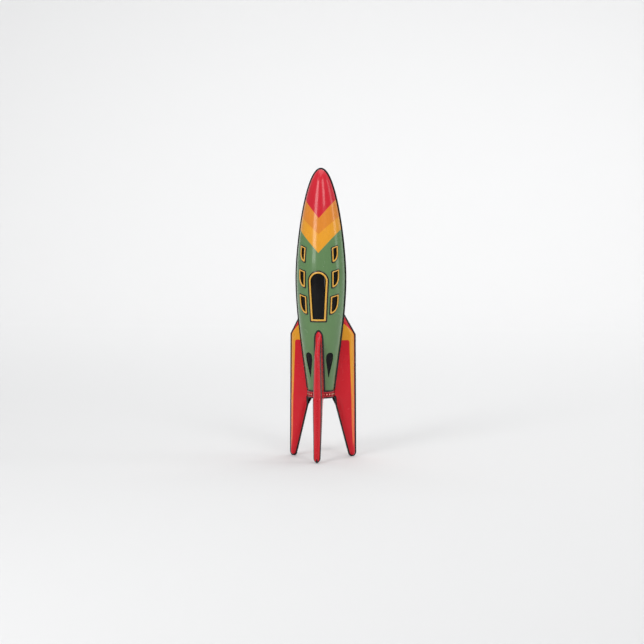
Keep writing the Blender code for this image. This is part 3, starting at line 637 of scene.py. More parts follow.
def finRoot(height):
    # the fin's inner edge stands clear of the hull, and of the tail band below its top
    f = finShape
    overBand = radiusAt(numpy.maximum(height, f["tailHeight"])) + 2 * f["gap"] + f["bandThickness"]
    return numpy.where(height > f["bandTop"] + f["gap"], radiusAt(height) + f["gap"], overBand)


def finBulge(height, top):
    f = finShape
    foot, waist, head, tail = f["bulgeFoot"], f["bulgeWaist"], f["bulgeTop"], f["tailHeight"]
    low = foot + (waist - foot) * numpy.sin(height / tail * math.pi / 2)
    high = waist + (head - waist) * (height - tail) / (top - tail)
    closing = rounded((top + f["topLap"] - height) / f["topRound"])
    return numpy.where(height < tail, low, high) * rounded(height / f["tipRadius"]) * closing


def finLift(reach, low, high, height, top):
    f = finShape
    flange = numpy.minimum(f["flange"], (high - low) * 0.25)
    ramp = numpy.minimum(f["ramp"], (high - low) / 2) - flange
    wide = f["ramp"] * 0.5 + f["ramp"] * 0.5 * numpy.minimum((high - low) / f["ramp"] / 2, 1)
    ramp = numpy.where(height > f["tailHeight"], wide, ramp)
    outer = rounded((high - reach - flange) / ramp)
    inner = rounded((reach - low - flange) / ramp)
    opened = numpy.clip((height - f["bandBottom"] + f["opening"]) / f["opening"], 0, 1)
    return finBulge(height, top) * outer * (inner + (1 - inner) * opened)


def finEdges(top, steps=10, rootSteps=24):
    # inner and outer edge, each as (reach, height) from the foot up
    f = finShape
    radius, flat = f["tipRadius"], f["footWidth"] / 2
    centre, rise = f["reach"] - radius, math.sqrt(radius**2 - flat**2)
    start = math.asin(flat / radius)
    arc = [start + (math.pi / 2 - start) * i / steps for i in range(steps + 1)]
    tip = [(radius * math.sin(a), rise - radius * math.cos(a)) for a in arc]
    outer = [(centre + across, height) for across, height in tip]
    outer.append((f["reach"] - f["shoulderIn"], top - f["slopeHeight"]))
    outer.append((float(finRoot(top)) + f["topWidth"], top))
    inner = [(centre - across, height) for across, height in tip[:-1]]
    seat = f["bandTop"] + f["gap"]
    clear = seat + 1 * mm
    heights = [clear + (top - clear) * i / rootSteps for i in range(rootSteps + 1)]
    inner += [(float(finRoot(z)), z) for z in [f["bandBottom"], seat] + heights]
    return inner, outer


def seatLine(arc, height, top):
    # how far inside the black line round a fin's seat a point of the hull is
    line, low = finShape["seatLine"], finRoot(height)
    high = reachAt(finEdges(top)[1], height)
    half = seamFace + finLift(low + 0.1 * mm, low, high, numpy.minimum(height, top - 2.5 * mm), top)
    beside, below = half + line - numpy.abs(arc), top + line - height
    corner = half + line
    atCorner = (beside < corner) & (below < corner)
    bent = corner - numpy.hypot(corner - beside, corner - below)
    return numpy.where(atCorner, bent, numpy.minimum(beside, below))


# hull halves

hatch = inMillimetres(
    bottom=143, height=53, width=21.8, footWidth=17.5, arch=11, frame=3, corner=1.1
)
portholes = {
    "rows": {  # bottom, width, height, degrees round from the front
        "upper": (203.3 * mm, 9.3 * mm, 18.7 * mm, 43.5),
        "middle": (177.4 * mm, 10.5 * mm, 20.5 * mm, 43.2),
        "lower": (150.3 * mm, 11.4 * mm, 22 * mm, 41.5),
    },
    "straight": 0.4,  # of the height, from the top down to where the outer side bends
    **inMillimetres(frame=2.3, corner=1.2, rise=2.6),
}
vents = {"turn": 37, **inMillimetres(bottom=84.5, height=27.2, width=8.2, corner=0.6)}
panes = inMillimetres(lap=0.6, underFrame=1.3, depth=0.7, thickness=0.5)
belly = inMillimetres(
    wheelRoom=2, sideRoom=1.4, wheelCorner=2.4, noseRoom=5, noseSideRoom=1, noseCorner=1.6,
    tabSlot=(1.2, 3.6), tabSpacing=6, tabInside=0.3,
)
# how far from the axis each kind of cut starts and ends
cutReach = inMillimetres(window=(10, 40), vent=(8, 40), wheels=(3, 50), nose=(14, 40))


def hatchOutline(inset):
    h = hatch
    half, foot, spring = h["width"] / 2 - inset, h["footWidth"] / 2 - inset, h["height"] - h["arch"]
    arch = [math.pi * i / 36 for i in range(37)]
    top = [(half * math.cos(a), spring + (h["arch"] - inset) * math.sin(a)) for a in arch]
    return roundedLoop([(-foot, inset), (foot, inset)] + top, (0, 1), h["corner"] - inset * 0.2)


def portholeOutline(row, mirrored):
    _, width, height, _ = portholes["rows"][row]

    def outline(inset):
        half = width / 2 - inset
        foot, head = inset * 1.4, height - inset * 1.1
        bend = height * (1 - portholes["straight"])
        curve = [math.pi / 2 * i / 24 for i in range(24)]
        sweep = [(2 * half * math.cos(a) - half, bend - (bend - foot) * math.sin(a)) for a in curve]
        rise = portholes["rise"] * 2 * half / width
        loop = [(-half, head - rise), (-half, foot + 0.8 * mm)] + sweep[::-1] + [(half, head)]
        loop = roundedLoop(loop, (0, 1, len(loop) - 1), portholes["corner"] - inset * 0.25)
        return [(-u, v) for u, v in reversed(loop)] if mirrored else loop

    return outline


def ventOutline(inset):
    v = vents
    half, foot, spring = v["width"] / 2 - inset, inset * 2, v["height"] - v["width"] / 2
    arch = [math.pi * (i + 1) / 32 for i in range(31)]
    top = [(half * math.cos(a), spring + half * 0.9 * math.sin(a)) for a in arch]
    side = spring - v["width"] / 2
    return roundedLoop([(0, foot), (half, side)] + top + [(-half, side)], (0,), v["corner"])


def divided(outline, insets, spacing=1.2 * mm):
    # the same outline at several insets, with matching points no further apart than spacing
    loops = [[Vector(point) for point in outline(inset)] for inset in insets]
    sides = [(after - here).length for here, after in zip(loops[0], loops[0][1:] + loops[0][:1])]
    counts = [max(1, math.ceil(side / spacing)) for side in sides]
    made = []
    for loop in loops:
        points = []
        for i, count in enumerate(counts):
            after = loop[(i + 1) % len(loop)]
            points += [loop[i].lerp(after, k / count) for k in range(count)]
        made.append(points)
    return made


def onHull(point, place, bottom, height):
    # a point of a flat outline, moved out on to the hull's face plus height
    radius = float(radiusAt(bottom + point[1])) + height
    return place @ Vector((point[0], point[1], math.sqrt(max(radius**2 - point[0] ** 2, 0))))


def cutterBlock(name, parts):
    # closed prisms that pass out through the hull: (outline, place, from, to), with bare cut faces
    bm = bmesh.new()
    for loop, place, near, far in parts:
        low = [bm.verts.new(place @ Vector((u, v, near))) for u, v in loop]
        high = [bm.verts.new(place @ Vector((u, v, far))) for u, v in loop]
        bm.faces.new(low[::-1])
        bm.faces.new(high)
        for i in range(len(loop)):
            k = (i + 1) % len(loop)
            bm.faces.new((low[i], low[k], high[k], high[i]))
    for face in bm.faces:
        face.material_index = 1
    mesh = bpy.data.meshes.new(name)
    bm.to_mesh(mesh)
    bm.free()
    return newPiece(name, mesh, hullLitho, bareTin)


def rectangle(width, height, u=0.0, v=0.0):
    signs = ((-1, -1), (1, -1), (1, 1), (-1, 1))
    return [(u + x * width / 2, v + y * height / 2) for x, y in signs]


def hullGrid(side, columns=80):
    # rows run down from the nose, columns across the half with the seam's flange at both ends
    seamStart = seam["endHeight"]
    rows = [(r, z) for r, z in profileSteps if abs(z - seamStart) > 0.8 * mm or z > seamStart]
    rows += [(float(radiusAt(z)), z) for z in (seamStart, seamStart - 0.25 * mm)]
    rows.sort(key=lambda row: -row[1])
    radii, heights = numpy.transpose(rows)
    slope = numpy.stack([numpy.gradient(radii), numpy.gradient(heights)])
    slope /= numpy.linalg.norm(slope, axis=0)
    outR, outZ = -slope[1], slope[0]
    outR[0], outZ[0] = 0, 1
    grid = numpy.zeros((len(rows), columns + 5, 3))
    sweep = numpy.arccos(numpy.minimum(seamFace / numpy.maximum(radii, 1e-9), 1))
    sweep[0] = 0
    shown = heights > seamStart - 0.1 * mm
    for c in range(columns + 5):
        angle = sweep * (2 * min(max(c - 2, 0), columns) / columns - 1)
        grid[:, c, 0] = radii * numpy.sin(angle)
        grid[:, c, 1] = axisY + side * numpy.maximum(radii * numpy.cos(angle), seamFace)
        grid[:, c, 2] = heights
        fromEnd = min(c, columns + 4 - c)
        if fromEnd < 2:
            reach = seam["flange"] * (1 - fromEnd / 2)
            hand = numpy.where(numpy.arange(len(rows)) == 0, 0, math.copysign(1, c - 3))
            grid[:, c, 0] += hand * shown * reach * outR
            grid[:, c, 2] += shown * reach * outZ
    return grid


def hullHalf(name, node, side, cutter):
    mesh = gridMesh(name, hullGrid(side), flip=side == front)
    weld(mesh)
    piece = newPiece(name, mesh, hullLitho, bareTin)
    addTin(piece)
    cut = piece.modifiers.new("openings", "BOOLEAN")
    cut.operation = "DIFFERENCE"
    cut.solver = "EXACT"
    cut.object = cutter
    freeze(piece)
    bpy.data.objects.remove(cutter)
    mesh = piece.data
    smooth(mesh, 40)
    across, depth, height = places(mesh).T
    depth = depth - axisY
    radius = numpy.hypot(across, depth)
    line = inkLines["seam"] - numpy.abs(depth)
    for fin in fins.values():
        turn = numpy.arctan2(across, -depth) - math.radians(fin["turn"])
        turn = (turn + math.pi) % (2 * math.pi) - math.pi
        line = numpy.maximum(line, seatLine(turn * radius, height, fin["top"]))
    setAttribute(mesh, "keyline", line)
    past = (radius - radiusAt(height)) / seam["flange"]
    setAttribute(mesh, "edge", numpy.clip(past * 1.2, 0, 1))
    return settle(piece, "rocket", "green_tin", node)


def makeHull():
    b, r, lap = belly, cutReach, panes["lap"]
    cuts = [(hatchOutline(hatch["frame"] - lap), facing(0, hatch["bottom"]), *r["window"])]
    for row, (bottom, _, _, degrees) in portholes["rows"].items():
        for sign in (-1, 1):
            loop = portholeOutline(row, sign < 0)(portholes["frame"] - lap)
            cuts.append((loop, facing(sign * degrees, bottom), *r["window"]))
    for sign in (-1, 1):
        cuts.append((ventOutline(0), facing(sign * vents["turn"], vents["bottom"]), *r["vent"]))
    hullHalf("hullFrontShell", "hull_front", front, cutterBlock("frontCuts", cuts))
    tyre, noseTyre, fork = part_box("right_tyre"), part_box("nose_tyre"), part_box("nose_fork")
    wheelTop = (tyre[1].z - tyre[0].z) / 2 + b["wheelRoom"]
    room = rectangle(2 * (tyre[1].x + b["sideRoom"]), 2 * wheelTop)
    room = roundedLoop(room, range(4), b["wheelCorner"])
    cuts = [(room, facing(180, middleOf("drive_axle").z), *r["wheels"])]
    middle = middleOf("nose_tyre")
    behind = facing(180, middle.z)
    reach, depth = (noseTyre[1].z - noseTyre[0].z) / 2, middle.y - axisY
    length = 2 * math.sqrt(reach**2 - (float(radiusAt(middle.z)) - depth) ** 2) + b["noseRoom"]
    slot = rectangle(noseTyre[1].x - noseTyre[0].x + 2 * b["noseSideRoom"], length)
    cuts.append((roundedLoop(slot, range(4), b["noseCorner"]), behind, *r["nose"]))
    ear = fork[1].x - b["tabInside"]
    for x in (-ear, ear):
        for z in (-b["tabSpacing"], b["tabSpacing"]):
            cuts.append((rectangle(*b["tabSlot"], x, z), behind, *r["nose"]))
    hullHalf("hullBackShell", "hull_back", back, cutterBlock("backCuts", cuts))
    print("hull: two pressed halves with a seam flange")


makeHull()


# window frames, panes and vent screens

frameSection = (  # inset from the outer edge and height above the hull, for a 2.3 mm frame
    (0.0, 0.05), (0.0, 0.32), (0.12, 0.46), (0.4, 0.5), (0.85, 0.5), (1.0, 0.62),
    (1.18, 0.9), (1.45, 1.08), (1.7, 1.1), (1.98, 1.02), (2.2, 0.78), (2.3, 0.5), (2.3, 0.05),
)


def windowFrame(name, node, outline, turn, bottom, width):
    share = width / (frameSection[-1][0] * mm)
    section = [(inset * mm * share, height * mm) for inset, height in frameSection]
    loops = divided(outline, [inset for inset, _ in section])
    place = facing(turn, bottom)
    grid = [
        [onHull(point, place, bottom, height) for point in loop]
        for loop, (_, height) in zip(loops, section)
    ]
    mesh = gridMesh(name, grid, closeAcross=True, closeAlong=True)
    insets, heights = numpy.repeat(section, len(loops[0]), axis=0).T
    setAttribute(mesh, "keyline", inkLines["frame"] * share - insets)
    setAttribute(mesh, "edge", numpy.clip((heights / mm - 0.85) * 2.5, 0, 0.8))
    weld(mesh, outward=True)
    smooth(mesh, 50)
    return settle(newPiece(name, mesh, frameLitho), "rocket", "yellow_tin", node)


def windowPane(name, node, outline, turn, bottom, inset, rings=9):
    loop = divided(outline, [inset])[0]
    middle = sum(loop, Vector((0, 0))) / len(loop)
    place = facing(turn, bottom)
    shares = [k / rings for k in range(rings + 1)]
    face = -panes["depth"]
    layers = [(face, share) for share in shares]
    layers += [(face - panes["thickness"], share) for share in shares[::-1]]
    grid = [
        [onHull(middle.lerp(p, share), place, bottom, depth) for p in loop]
        for depth, share in layers
    ]
    mesh = gridMesh(name, grid, closeAcross=True)
    weld(mesh, outward=True)
    smooth(mesh, 50)
    return settle(newPiece(name, mesh, blackLacquer), "rocket", "black_pane", node)


def makeWindows():
    inside = panes["lap"] + panes["underFrame"]
    seats = {("hatch", "hatch", hatch["frame"]): (hatchOutline, 0, hatch["bottom"])}
    for row, (bottom, _, _, degrees) in portholes["rows"].items():
        for hand, sign in (("left", -1), ("right", 1)):
            key = (row + hand.capitalize(), f"{row}_{hand}_porthole", portholes["frame"])
            seats[key] = (portholeOutline(row, sign < 0), sign * degrees, bottom)
    for (name, node, width), seat in seats.items():
        windowFrame(name + "Frame", node + "_frame", *seat, width)
        windowPane(name + "Pane", node + "_pane", *seat, width - inside)
    for hand, sign in (("left", -1), ("right", 1)):
        seat = (ventOutline, sign * vents["turn"], vents["bottom"])
        windowPane(hand + "VentScreen", hand + "_vent_screen", *seat, -panes["underFrame"])
    print("windows: hatch, six portholes and two vents")


makeWindows()


# fin skins

finArt = {
    # height and distance from the outer edge, in mm
    "stripeOuter": ((0, 3.4), (33, 3.4), (67, 3.2), (113, 2.5), (152, 2.5)),
    "stripeInner": ((0, 4.6), (10, 5.3), (33, 6.6), (67, 7.3), (113, 8.5), (152, 8.5)),
    **inMillimetres(
        panelTop=122, panelCorner=2.6, wedgeAtHull=12, wedgeDrop=1.5, crestLine=1, crestBack=0.2,
        edgeLine=2, footLine=5, chipWidth=0.5, nowhere=-10,
    ),
}


def distanceTo(line, reach, height):
    best = numpy.full(reach.shape, 1.0)
    for (r0, z0), (r1, z1) in zip(line, line[1:]):
        run, rise = r1 - r0, z1 - z0
        along = numpy.clip(((reach - r0) * run + (height - z0) * rise) / (run**2 + rise**2), 0, 1)
        away = numpy.hypot(reach - r0 - along * run, height - z0 - along * rise)
        best = numpy.minimum(best, away)
    return best


def finAttributes(mesh, fin, place):
    # distances inside the stripe and inside the black edge, from where each point lies on the fin
    art, f, top = finArt, finShape, fin["top"]
    across, height, out = places(mesh, place).T
    inner, outer = finEdges(top)
    lowEdge = reachAt(inner, height)
    reach = numpy.clip(out, lowEdge, None)
    outerDistance = distanceTo(outer, reach, height)
    freeInner = [point for point in inner if point[1] <= f["bandBottom"]]
    rim = numpy.minimum(outerDistance, distanceTo(freeInner[::-1] + outer[:1], reach, height))
    setAttribute(mesh, "edge", numpy.clip(1 - rim / art["chipWidth"], 0, 1) * fin["wear"])
    if not fin["stripe"]:
        highEdge = reachAt(outer, height)
        crest = numpy.abs(across) - seamFace - (finBulge(height, top) - art["crestLine"])
        ramp = numpy.minimum(f["ramp"], (highEdge - lowEdge) / 2)
        behind = reach - (highEdge - ramp - art["crestBack"])
        foot = numpy.where(height < art["footLine"], f["flange"] - rim, art["nowhere"])
        setAttribute(mesh, "keyline", numpy.maximum(numpy.minimum(crest, behind), foot))
        setAttribute(mesh, "stripe", numpy.full(len(reach), art["nowhere"]))
        return
    line = numpy.maximum(art["edgeLine"] - outerDistance, f["flange"] + 0.1 * mm - rim)
    setAttribute(mesh, "keyline", line)
    sides = (art["stripeOuter"], art["stripeInner"])
    near, far = (numpy.interp(height / mm, *zip(*side)) * mm for side in sides)
    slopeShare = (f["reach"] - reach) / (f["reach"] - float(finRoot(top)))
    foot = top - f["slopeHeight"] - art["wedgeDrop"]
    wedge = foot + (top - art["wedgeAtHull"] - foot) * slopeShare - height
    a, b, corner = outerDistance - far, art["panelTop"] - height, art["panelCorner"]
    inCorner = (a < corner) & (b < corner)
    panel = numpy.where(inCorner, corner - numpy.hypot(corner - a, corner - b), numpy.minimum(a, b))
    stripe = numpy.minimum(outerDistance - near, wedge * 0.75)
    setAttribute(mesh, "stripe", numpy.minimum(stripe, -panel))


def finRows(inner, outer, top, count=120, least=0.45 * mm):
    # heights of the skin's rows: every corner of its edges, even steps, and finer ones at the slope
    marks = {z for _, z in inner + outer} | {top * i / count for i in range(count + 1)}
    marks |= {top - finShape["slopeHeight"] * i / 24 for i in range(10)}
    heights = [0.0]
    for z in sorted(marks):
        if z - heights[-1] > least:
            heights.append(z)
    heights[-1] = top
    return numpy.array(heights)


def finSkin(name, node, fin, hand):
    top = fin["top"]
    inner, outer = finEdges(top)
    heights = finRows(inner, outer, top)
    low, high = reachAt(inner, heights), reachAt(outer, heights)
    half = (high - low) / 2
    flange = numpy.minimum(finShape["flange"], half / 2)
    ramp = numpy.minimum(finShape["ramp"], half) - flange
    steps = [flange * share for share in (0, 0.5, 1)]
    steps += [flange + ramp * share for share in (0.05, 0.12, 0.22, 0.35, 0.5, 0.7, 0.88)]
    steps += [flange + ramp + (half - flange - ramp) * share for share in (0.0, 0.35, 0.7)]
    columns = []
    for reach in [low + step for step in steps + [half]] + [high - step for step in steps[::-1]]:
        lift = finLift(reach, low, high, heights, top)
        share = numpy.clip((high - reach) / (high - low), 0, 1)
        wrapped = numpy.sqrt(reach**2 - share * lift**2)
        columns.append(numpy.stack([hand * (seamFace + lift), heights, wrapped], axis=1))
    mesh = gridMesh(name, numpy.stack(columns, axis=1), flip=hand > 0)
    weld(mesh)
    piece = newPiece(name, mesh, finLitho, bareTin)
    addTin(piece)
    freeze(piece)
    place = facing(fin["turn"])
    piece.data.transform(place)
    smooth(piece.data, 40)
    finAttributes(piece.data, fin, place)
    return settle(piece, "rocket", "red_tin", node)


def makeFins():
    for name, fin in fins.items():
        for hand, sign in (("left", -1), ("right", 1)):
            finSkin(name + hand.capitalize() + "Skin", f"{fin['node']}_{hand}_skin", fin, sign)
    print("fins: three, each of two dished skins")


makeFins()


# geometry node rings: small things spaced evenly round a circle

def inputOf(tree, name):
    return next(item.identifier for item in tree.interface.items_tree if item.name == name)


def newRingTree(name, sizes):
    tree = bpy.data.node_groups.new(name, "GeometryNodeTree")
    tree.interface.new_socket(name="Geometry", in_out="OUTPUT", socket_type="NodeSocketGeometry")
    kinds = {"Count": "NodeSocketInt", "Finish": "NodeSocketMaterial"}
    for label in ("Count", "Radius", "Start", *sizes, "Finish"):
        kind = kinds.get(label, "NodeSocketFloat")
        tree.interface.new_socket(name=label, in_out="INPUT", socket_type=kind)
    return tree, addNode(tree, "NodeGroupInput").outputs, addNode(tree, "NodeGroupOutput").inputs[0]


def combined(tree, **letters):
    return addNode(tree, "ShaderNodeCombineXYZ", letters).outputs[0]


def transformed(tree, geometry, **changes):
    return addNode(tree, "GeometryNodeTransform", {"Geometry": geometry, **changes}).outputs[0]


def closeRingTree(tree, given, result, item):
    # copies of item stand round the circle, each with its own X pointing out
    sizes = {"Vertices": given["Count"], "Radius": given["Radius"]}
    circle = addNode(tree, "GeometryNodeMeshCircle", sizes).outputs["Mesh"]
    step = maths(tree, "DIVIDE", 2 * math.pi, given["Count"])
    index = addNode(tree, "GeometryNodeInputIndex").outputs[0]
    spin = combined(tree, Z=maths(tree, "MULTIPLY", index, step))
    inputs = {"Points": circle, "Instance": item, "Rotation": spin}
    copies = addNode(tree, "GeometryNodeInstanceOnPoints", inputs).outputs[0]
    turned = transformed(tree, copies, Rotation=combined(tree, Z=given["Start"]))
    real = addNode(tree, "GeometryNodeRealizeInstances", {0: turned}).outputs[0]
    inputs = {"Geometry": real, "Material": given["Finish"]}
    plug(tree, result, addNode(tree, "GeometryNodeSetMaterial", inputs).outputs[0])
    return tree


def sweptCircle(tree, path, radius, sides, caps=False):
    section = {"Resolution": sides, "Radius": radius}
    section = addNode(tree, "GeometryNodeCurvePrimitiveCircle", section).outputs[0]
    inputs = {"Curve": path, "Profile Curve": section, "Fill Caps": caps}
    return addNode(tree, "GeometryNodeCurveToMesh", inputs).outputs[0]


def makeLinkTree():
    # round wire links that lie flat on a band
    tree, given, result = newRingTree("bandLinks", ("Link Radius", "Wire Radius", "Lean"))
    inputs = {"Resolution": 20, "Radius": given["Link Radius"]}
    path = addNode(tree, "GeometryNodeCurvePrimitiveCircle", inputs).outputs[0]
    tilt = combined(tree, Y=maths(tree, "ADD", given["Lean"], math.pi / 2))
    link = transformed(tree, sweptCircle(tree, path, given["Wire Radius"], 6), Rotation=tilt)
    return closeRingTree(tree, given, result, link)


def makeStudTree():
    # low domes, flattened along the way out
    tree, given, result = newRingTree("ringStuds", ("Stud Radius", "Stud Height"))
    inputs = {"Segments": 12, "Rings": 8, "Radius": 1.0}
    dome = addNode(tree, "GeometryNodeMeshUVSphere", inputs).outputs["Mesh"]
    size = combined(tree, X=given["Stud Height"], Y=given["Stud Radius"], Z=given["Stud Radius"])
    return closeRingTree(tree, given, result, transformed(tree, dome, Scale=size))


def makeRibTree():
    # round ribs across a tyre's tread
    tree, given, result = newRingTree("treadRibs", ("Rib Length", "Rib Radius"))
    ends = {}
    for name, sign in (("Start", -0.5), ("End", 0.5)):
        ends[name] = combined(tree, Z=maths(tree, "MULTIPLY", given["Rib Length"], sign))
    span = addNode(tree, "GeometryNodeCurvePrimitiveLine", ends).outputs[0]
    rib = sweptCircle(tree, span, given["Rib Radius"], 8, True)
    return closeRingTree(tree, given, result, rib)


linkTree, studTree, ribTree = makeLinkTree(), makeStudTree(), makeRibTree()


def inputOf(tree, name):
    return next(item.identifier for item in tree.interface.items_tree if item.name == name)


def ringOf(name, tree, place, body, slot, **values):
    piece = newPiece(name, bpy.data.meshes.new(name))
    maker = piece.modifiers.new(tree.name, "NODES")
    maker.node_group = tree
    for key, value in {"Start": 0.0, **values}.items():
        maker[inputOf(tree, key.replace("_", " "))] = value
    freeze(piece)
    piece.data.transform(place)
    smooth(piece.data, 60)
    return settle(piece, body, slot)


# tail band and tail plate

band = {
    "links": 25,
    "rows": (0.06, 0.14, 0.3, 0.5, 0.7, 0.86, 0.94),
    **inMillimetres(
        linkRadius=1.8, wire=0.2, dot=0.55, dotHeight=0.15, bead=0.3, beadHeight=0.5, lip=0.2,
        border=1.6, wearWidth=0.7,
    ),
}
plateTin = inMillimetres(hole=3, tin=0.4, dish=0.8, rounding=0.4)


def makeBand():
    f, b = finShape, band
    low, high = f["bandBottom"], f["bandTop"]
    skin = f["gap"] + f["bandThickness"]
    bottomR, topR = float(radiusAt(f["tailHeight"])) + skin, float(radiusAt(high)) + skin
    bead, tall = b["bead"], b["beadHeight"]
    start = 0.1 * mm
    margin = start + 2 * tall
    arc = [math.pi * i / 6 for i in range(7)]
    profile = [(topR - f["bandThickness"], high), (topR - b["lip"], high)]
    profile += [(topR + bead * math.sin(a), high - start - tall * (1 - math.cos(a))) for a in arc]
    for share in b["rows"]:
        height = high - margin + (low - high + 2 * margin) * share
        profile.append((topR + (bottomR - topR) * share, height))
    profile += [(bottomR + bead * math.sin(a), low + start + tall * (1 + math.cos(a))) for a in arc]
    profile += [(bottomR - b["lip"], low), (bottomR - f["bandThickness"], low)]
    look = {"rounding": 0, "closed": True, "steps": 128}
    piece = turnedPiece("tailBand", profile, upright(), bandLitho, **look)
    height = places(piece.data)[:, 2]
    inside = numpy.minimum(height - low, high - height)
    setAttribute(piece.data, "keyline", b["border"] - inside)
    setAttribute(piece.data, "edge", numpy.clip(1 - inside / b["wearWidth"], 0, 0.7))
    settle(piece, "rocket", "red_tin", "tail_band")
    place = upright((low + high) / 2)
    shared = {"Count": b["links"], "Radius": (bottomR + topR) / 2}
    lean = math.atan2(topR - bottomR, high - low)
    ringOf(
        "tailBandLinks", linkTree, place, "rocket", "black_pane", **shared, Finish=blackLacquer,
        Link_Radius=b["linkRadius"], Wire_Radius=b["wire"], Lean=lean,
    )
    ringOf(
        "tailBandDots", studTree, place, "rocket", "yellow_tin", **shared, Finish=paleInk,
        Stud_Radius=b["dot"], Stud_Height=b["dotHeight"],
    )


def makeTail():
    makeBand()
    low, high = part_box("tail_plate")
    rim, floor, tin, hole = high.x, low.z, plateTin["tin"], plateTin["hole"]
    raisedFloor = floor + plateTin["dish"]
    profile = [
        (rim, high.z), (rim, floor), (rim - 2 * mm, floor), (rim - 3 * mm, raisedFloor),
        (hole + 2.4 * mm, raisedFloor), (hole + 1.4 * mm, floor), (hole, floor),
        (hole, floor + tin), (hole + 1.2 * mm, floor + tin), (hole + 2.2 * mm, raisedFloor + tin),
        (rim - 2.9 * mm, raisedFloor + tin), (rim - 1.9 * mm, floor + tin),
        (rim - tin, floor + tin), (rim - tin, high.z),
    ]
    look = {"closed": True, "rounding": plateTin["rounding"]}
    piece = turnedPiece("tailPlate", profile, upright(), bareTin, **look)
    settle(piece, "rocket", "bare_steel", "tail_plate")
    print("tail: printed band with a chain of links, and the closing plate")


makeTail()


# wheels, axles and motor

def acrossAt(x, node):
    # a place on a node's own axis, with its own Z along +X
    middle = middleOf(node)
    return Matrix.Translation((x, middle.y, middle.z)) @ Matrix.Rotation(math.pi / 2, 4, "Y")


def bothSides(profile):
    # a section from the middle out, and the same again on the other side
    return profile + [(radius, -height) for radius, height in reversed(profile)]


wheels = {
    "rightWheel": {"node": "right", "body": "drive", "ribs": 44},
    "leftWheel": {"node": "left", "body": "drive", "ribs": 44},
    "noseWheel": {"node": "nose", "body": "nose_wheel", "ribs": 34},
}
wheelShape = {
    "dish": 0.4,  # of half the width
    "lineAt": 0.75,  # of the hub's radius
    "steps": 96,
    **inMillimetres(
        bore=1.55, seat=0.2, line=0.55, wear=0.6, hubRounding=0.35, tyreRounding=0.5, tyreGap=0.25,
        treadDepth=0.35, ribSunk=0.25, ribRadius=0.58, ribMargin=0.5,
    ),
}


def makeWheel(name, wheel):
    w, body = wheelShape, wheel["body"]
    hubNode, tyreNode = wheel["node"] + "_hub", wheel["node"] + "_tyre"
    hub, tyre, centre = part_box(hubNode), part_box(tyreNode), middleOf(hubNode).x
    half = (hub[1].x - hub[0].x) / 2
    place = acrossAt(centre, tyreNode)
    if centre < -1 * mm:
        place = place @ Matrix.Rotation(math.pi, 4, "X")
    hubR, tread = (hub[1].z - hub[0].z) / 2, (tyre[1].z - tyre[0].z) / 2 - w["treadDepth"]
    bore, dish, seat = w["bore"], half * w["dish"], hubR + w["seat"]
    profile = [
        (bore, half), (bore + 1.2 * mm, half), (bore + 1.7 * mm, half - dish),
        (hubR * 0.62, half - dish), (hubR * 0.7, half - dish * 0.35),
        (hubR * 0.8, half - dish * 0.35),
        (hubR - 1.3 * mm, half - dish), (hubR - 0.7 * mm, half), (seat, half), (seat, half * 0.5),
        (hubR - 0.4 * mm, 0), (seat, -half * 0.5), (seat, -half), (hubR - 0.7 * mm, -half),
        (hubR - 1.3 * mm, dish - half), (bore + 1.7 * mm, dish - half), (bore + 1.2 * mm, -half),
        (bore, -half),
    ]
    look = {"rounding": w["hubRounding"], "closed": True, "steps": w["steps"]}
    piece = turnedPiece(name + "Hub", profile, place, hubLitho, **look)
    own = places(piece.data, place)
    reach = numpy.hypot(own[:, 0], own[:, 1])
    setAttribute(piece.data, "keyline", w["line"] - numpy.abs(reach - hubR * w["lineAt"]))
    setAttribute(piece.data, "edge", numpy.clip((reach - hubR) / w["wear"] + 1, 0, 0.8))
    settle(piece, body, "red_tin", hubNode)
    inside = hubR + w["tyreGap"]
    profile = bothSides([
        (inside, half * 0.92), (inside + 1 * mm, half), (tread - 1.4 * mm, half),
        (tread - 0.3 * mm, half - 0.7 * mm), (tread, half * 0.35),
    ])
    look["rounding"] = w["tyreRounding"]
    piece = turnedPiece(name + "Tyre", profile, place, tyreRubber, **look)
    settle(piece, body, "rubber", tyreNode)
    ringOf(
        name + "Tread", ribTree, place, body, "rubber", Count=wheel["ribs"], Finish=tyreRubber,
        Radius=tread - w["ribSunk"], Rib_Radius=w["ribRadius"],
        Rib_Length=2 * (half - w["ribMargin"]),
    )


def turnedPin(name, node, body, slot, material, sections):
    # sections: radius, from and to along the pin, from one end to the other
    profile = [(0, sections[0][1])]
    for radius, start, end in sections:
        profile += [(radius, start), (radius, end)]
    profile.append((0, sections[-1][2]))
    piece = turnedPiece(name, profile, acrossAt(0, node), material, rounding=0.3 * mm, steps=40)
    return settle(piece, body, slot, node)


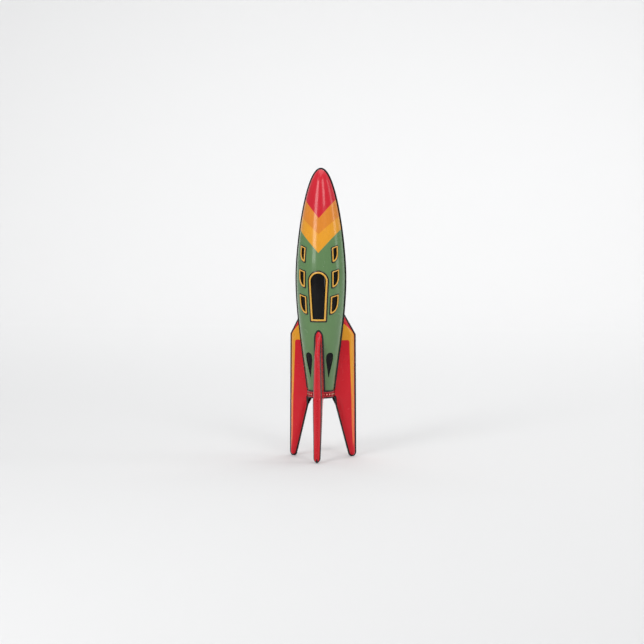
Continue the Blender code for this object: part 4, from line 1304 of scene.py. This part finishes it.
pinBodies = {
    "middle_shaft": "middle",
    "flywheel_shaft": "flywheel",
    "drive_axle": "drive",
    "nose_axle": "nose_wheel",
}
pins = inMillimetres(  # radius of the shank and of its ends, and how long each end is
    middle_shaft=(1, 0.7, 0.5), flywheel_shaft=(1, 0.7, 0.5),
    drive_axle=(1.25, 1.85, 0.6), nose_axle=(1.25, 2.05, 0.6),
)
pillar = inMillimetres(body=1.6, neck=0.9, head=1.7, inner=0.3, outer=0.2)
disc = inMillimetres(bore=1.3, boss=3, rim=3, web=1)
carried = {
    plateSteel: (
        "left_motor_plate", "right_motor_plate", "middle_pinion", "flywheel_pinion", "nose_fork"
    ),
    stampedBrass: ("drive_gear", "middle_gear"),
    bareTin: ("lower_bulkhead", "upper_bulkhead"),
}


def pieceName(node):
    first, *others = node.split("_")
    return first + "".join(word.capitalize() for word in others)


def makePins():
    p, plate = pillar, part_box("right_motor_plate")
    inside, outside = plate[0].x - p["inner"], plate[1].x + p["outer"]
    for name in ("lower_front", "lower_back", "upper_front", "upper_back"):
        node = name + "_pillar"
        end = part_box(node)[1].x
        sections = [
            (p["head"], end, outside), (p["neck"], outside, inside), (p["body"], inside, -inside),
            (p["neck"], -inside, -outside), (p["head"], -outside, -end),
        ]
        turnedPin(pieceName(node), node, "rocket", "bare_steel", plateSteel, sections)
    for node, (shank, tip, length) in pins.items():
        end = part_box(node)[1].x
        turn = end - length
        sections = [(tip, end, turn), (shank, turn, -turn), (tip, -turn, -end)]
        turnedPin(pieceName(node), node, pinBodies[node], "bare_steel", plateSteel, sections)


def makeFlywheel():
    low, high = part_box("flywheel")
    half, radius = (high.x - low.x) / 2, (high.z - low.z) / 2
    bore, boss, rim, web = disc["bore"], disc["boss"], radius - disc["rim"], half - disc["web"]
    profile = bothSides([
        (bore, half), (boss, half), (boss + 0.6 * mm, web), (rim - 0.8 * mm, web), (rim, half),
        (radius, half),
    ])
    place = acrossAt(middleOf("flywheel").x, "flywheel")
    piece = turnedPiece("castFlywheel", profile, place, castGrey, closed=True, steps=80)
    settle(piece, "flywheel", "lead", "flywheel")


def makeMotor():
    makePins()
    makeFlywheel()
    for material, nodes in carried.items():
        for node in nodes:
            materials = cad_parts[node].data.materials
            materials.clear()
            materials.append(material)
    print("motor: plates, pillars, gear train and flywheel")


for wheelName, wheelSizes in wheels.items():
    makeWheel(wheelName, wheelSizes)
print("wheels: two driven wheels and the nose wheel")
makeMotor()
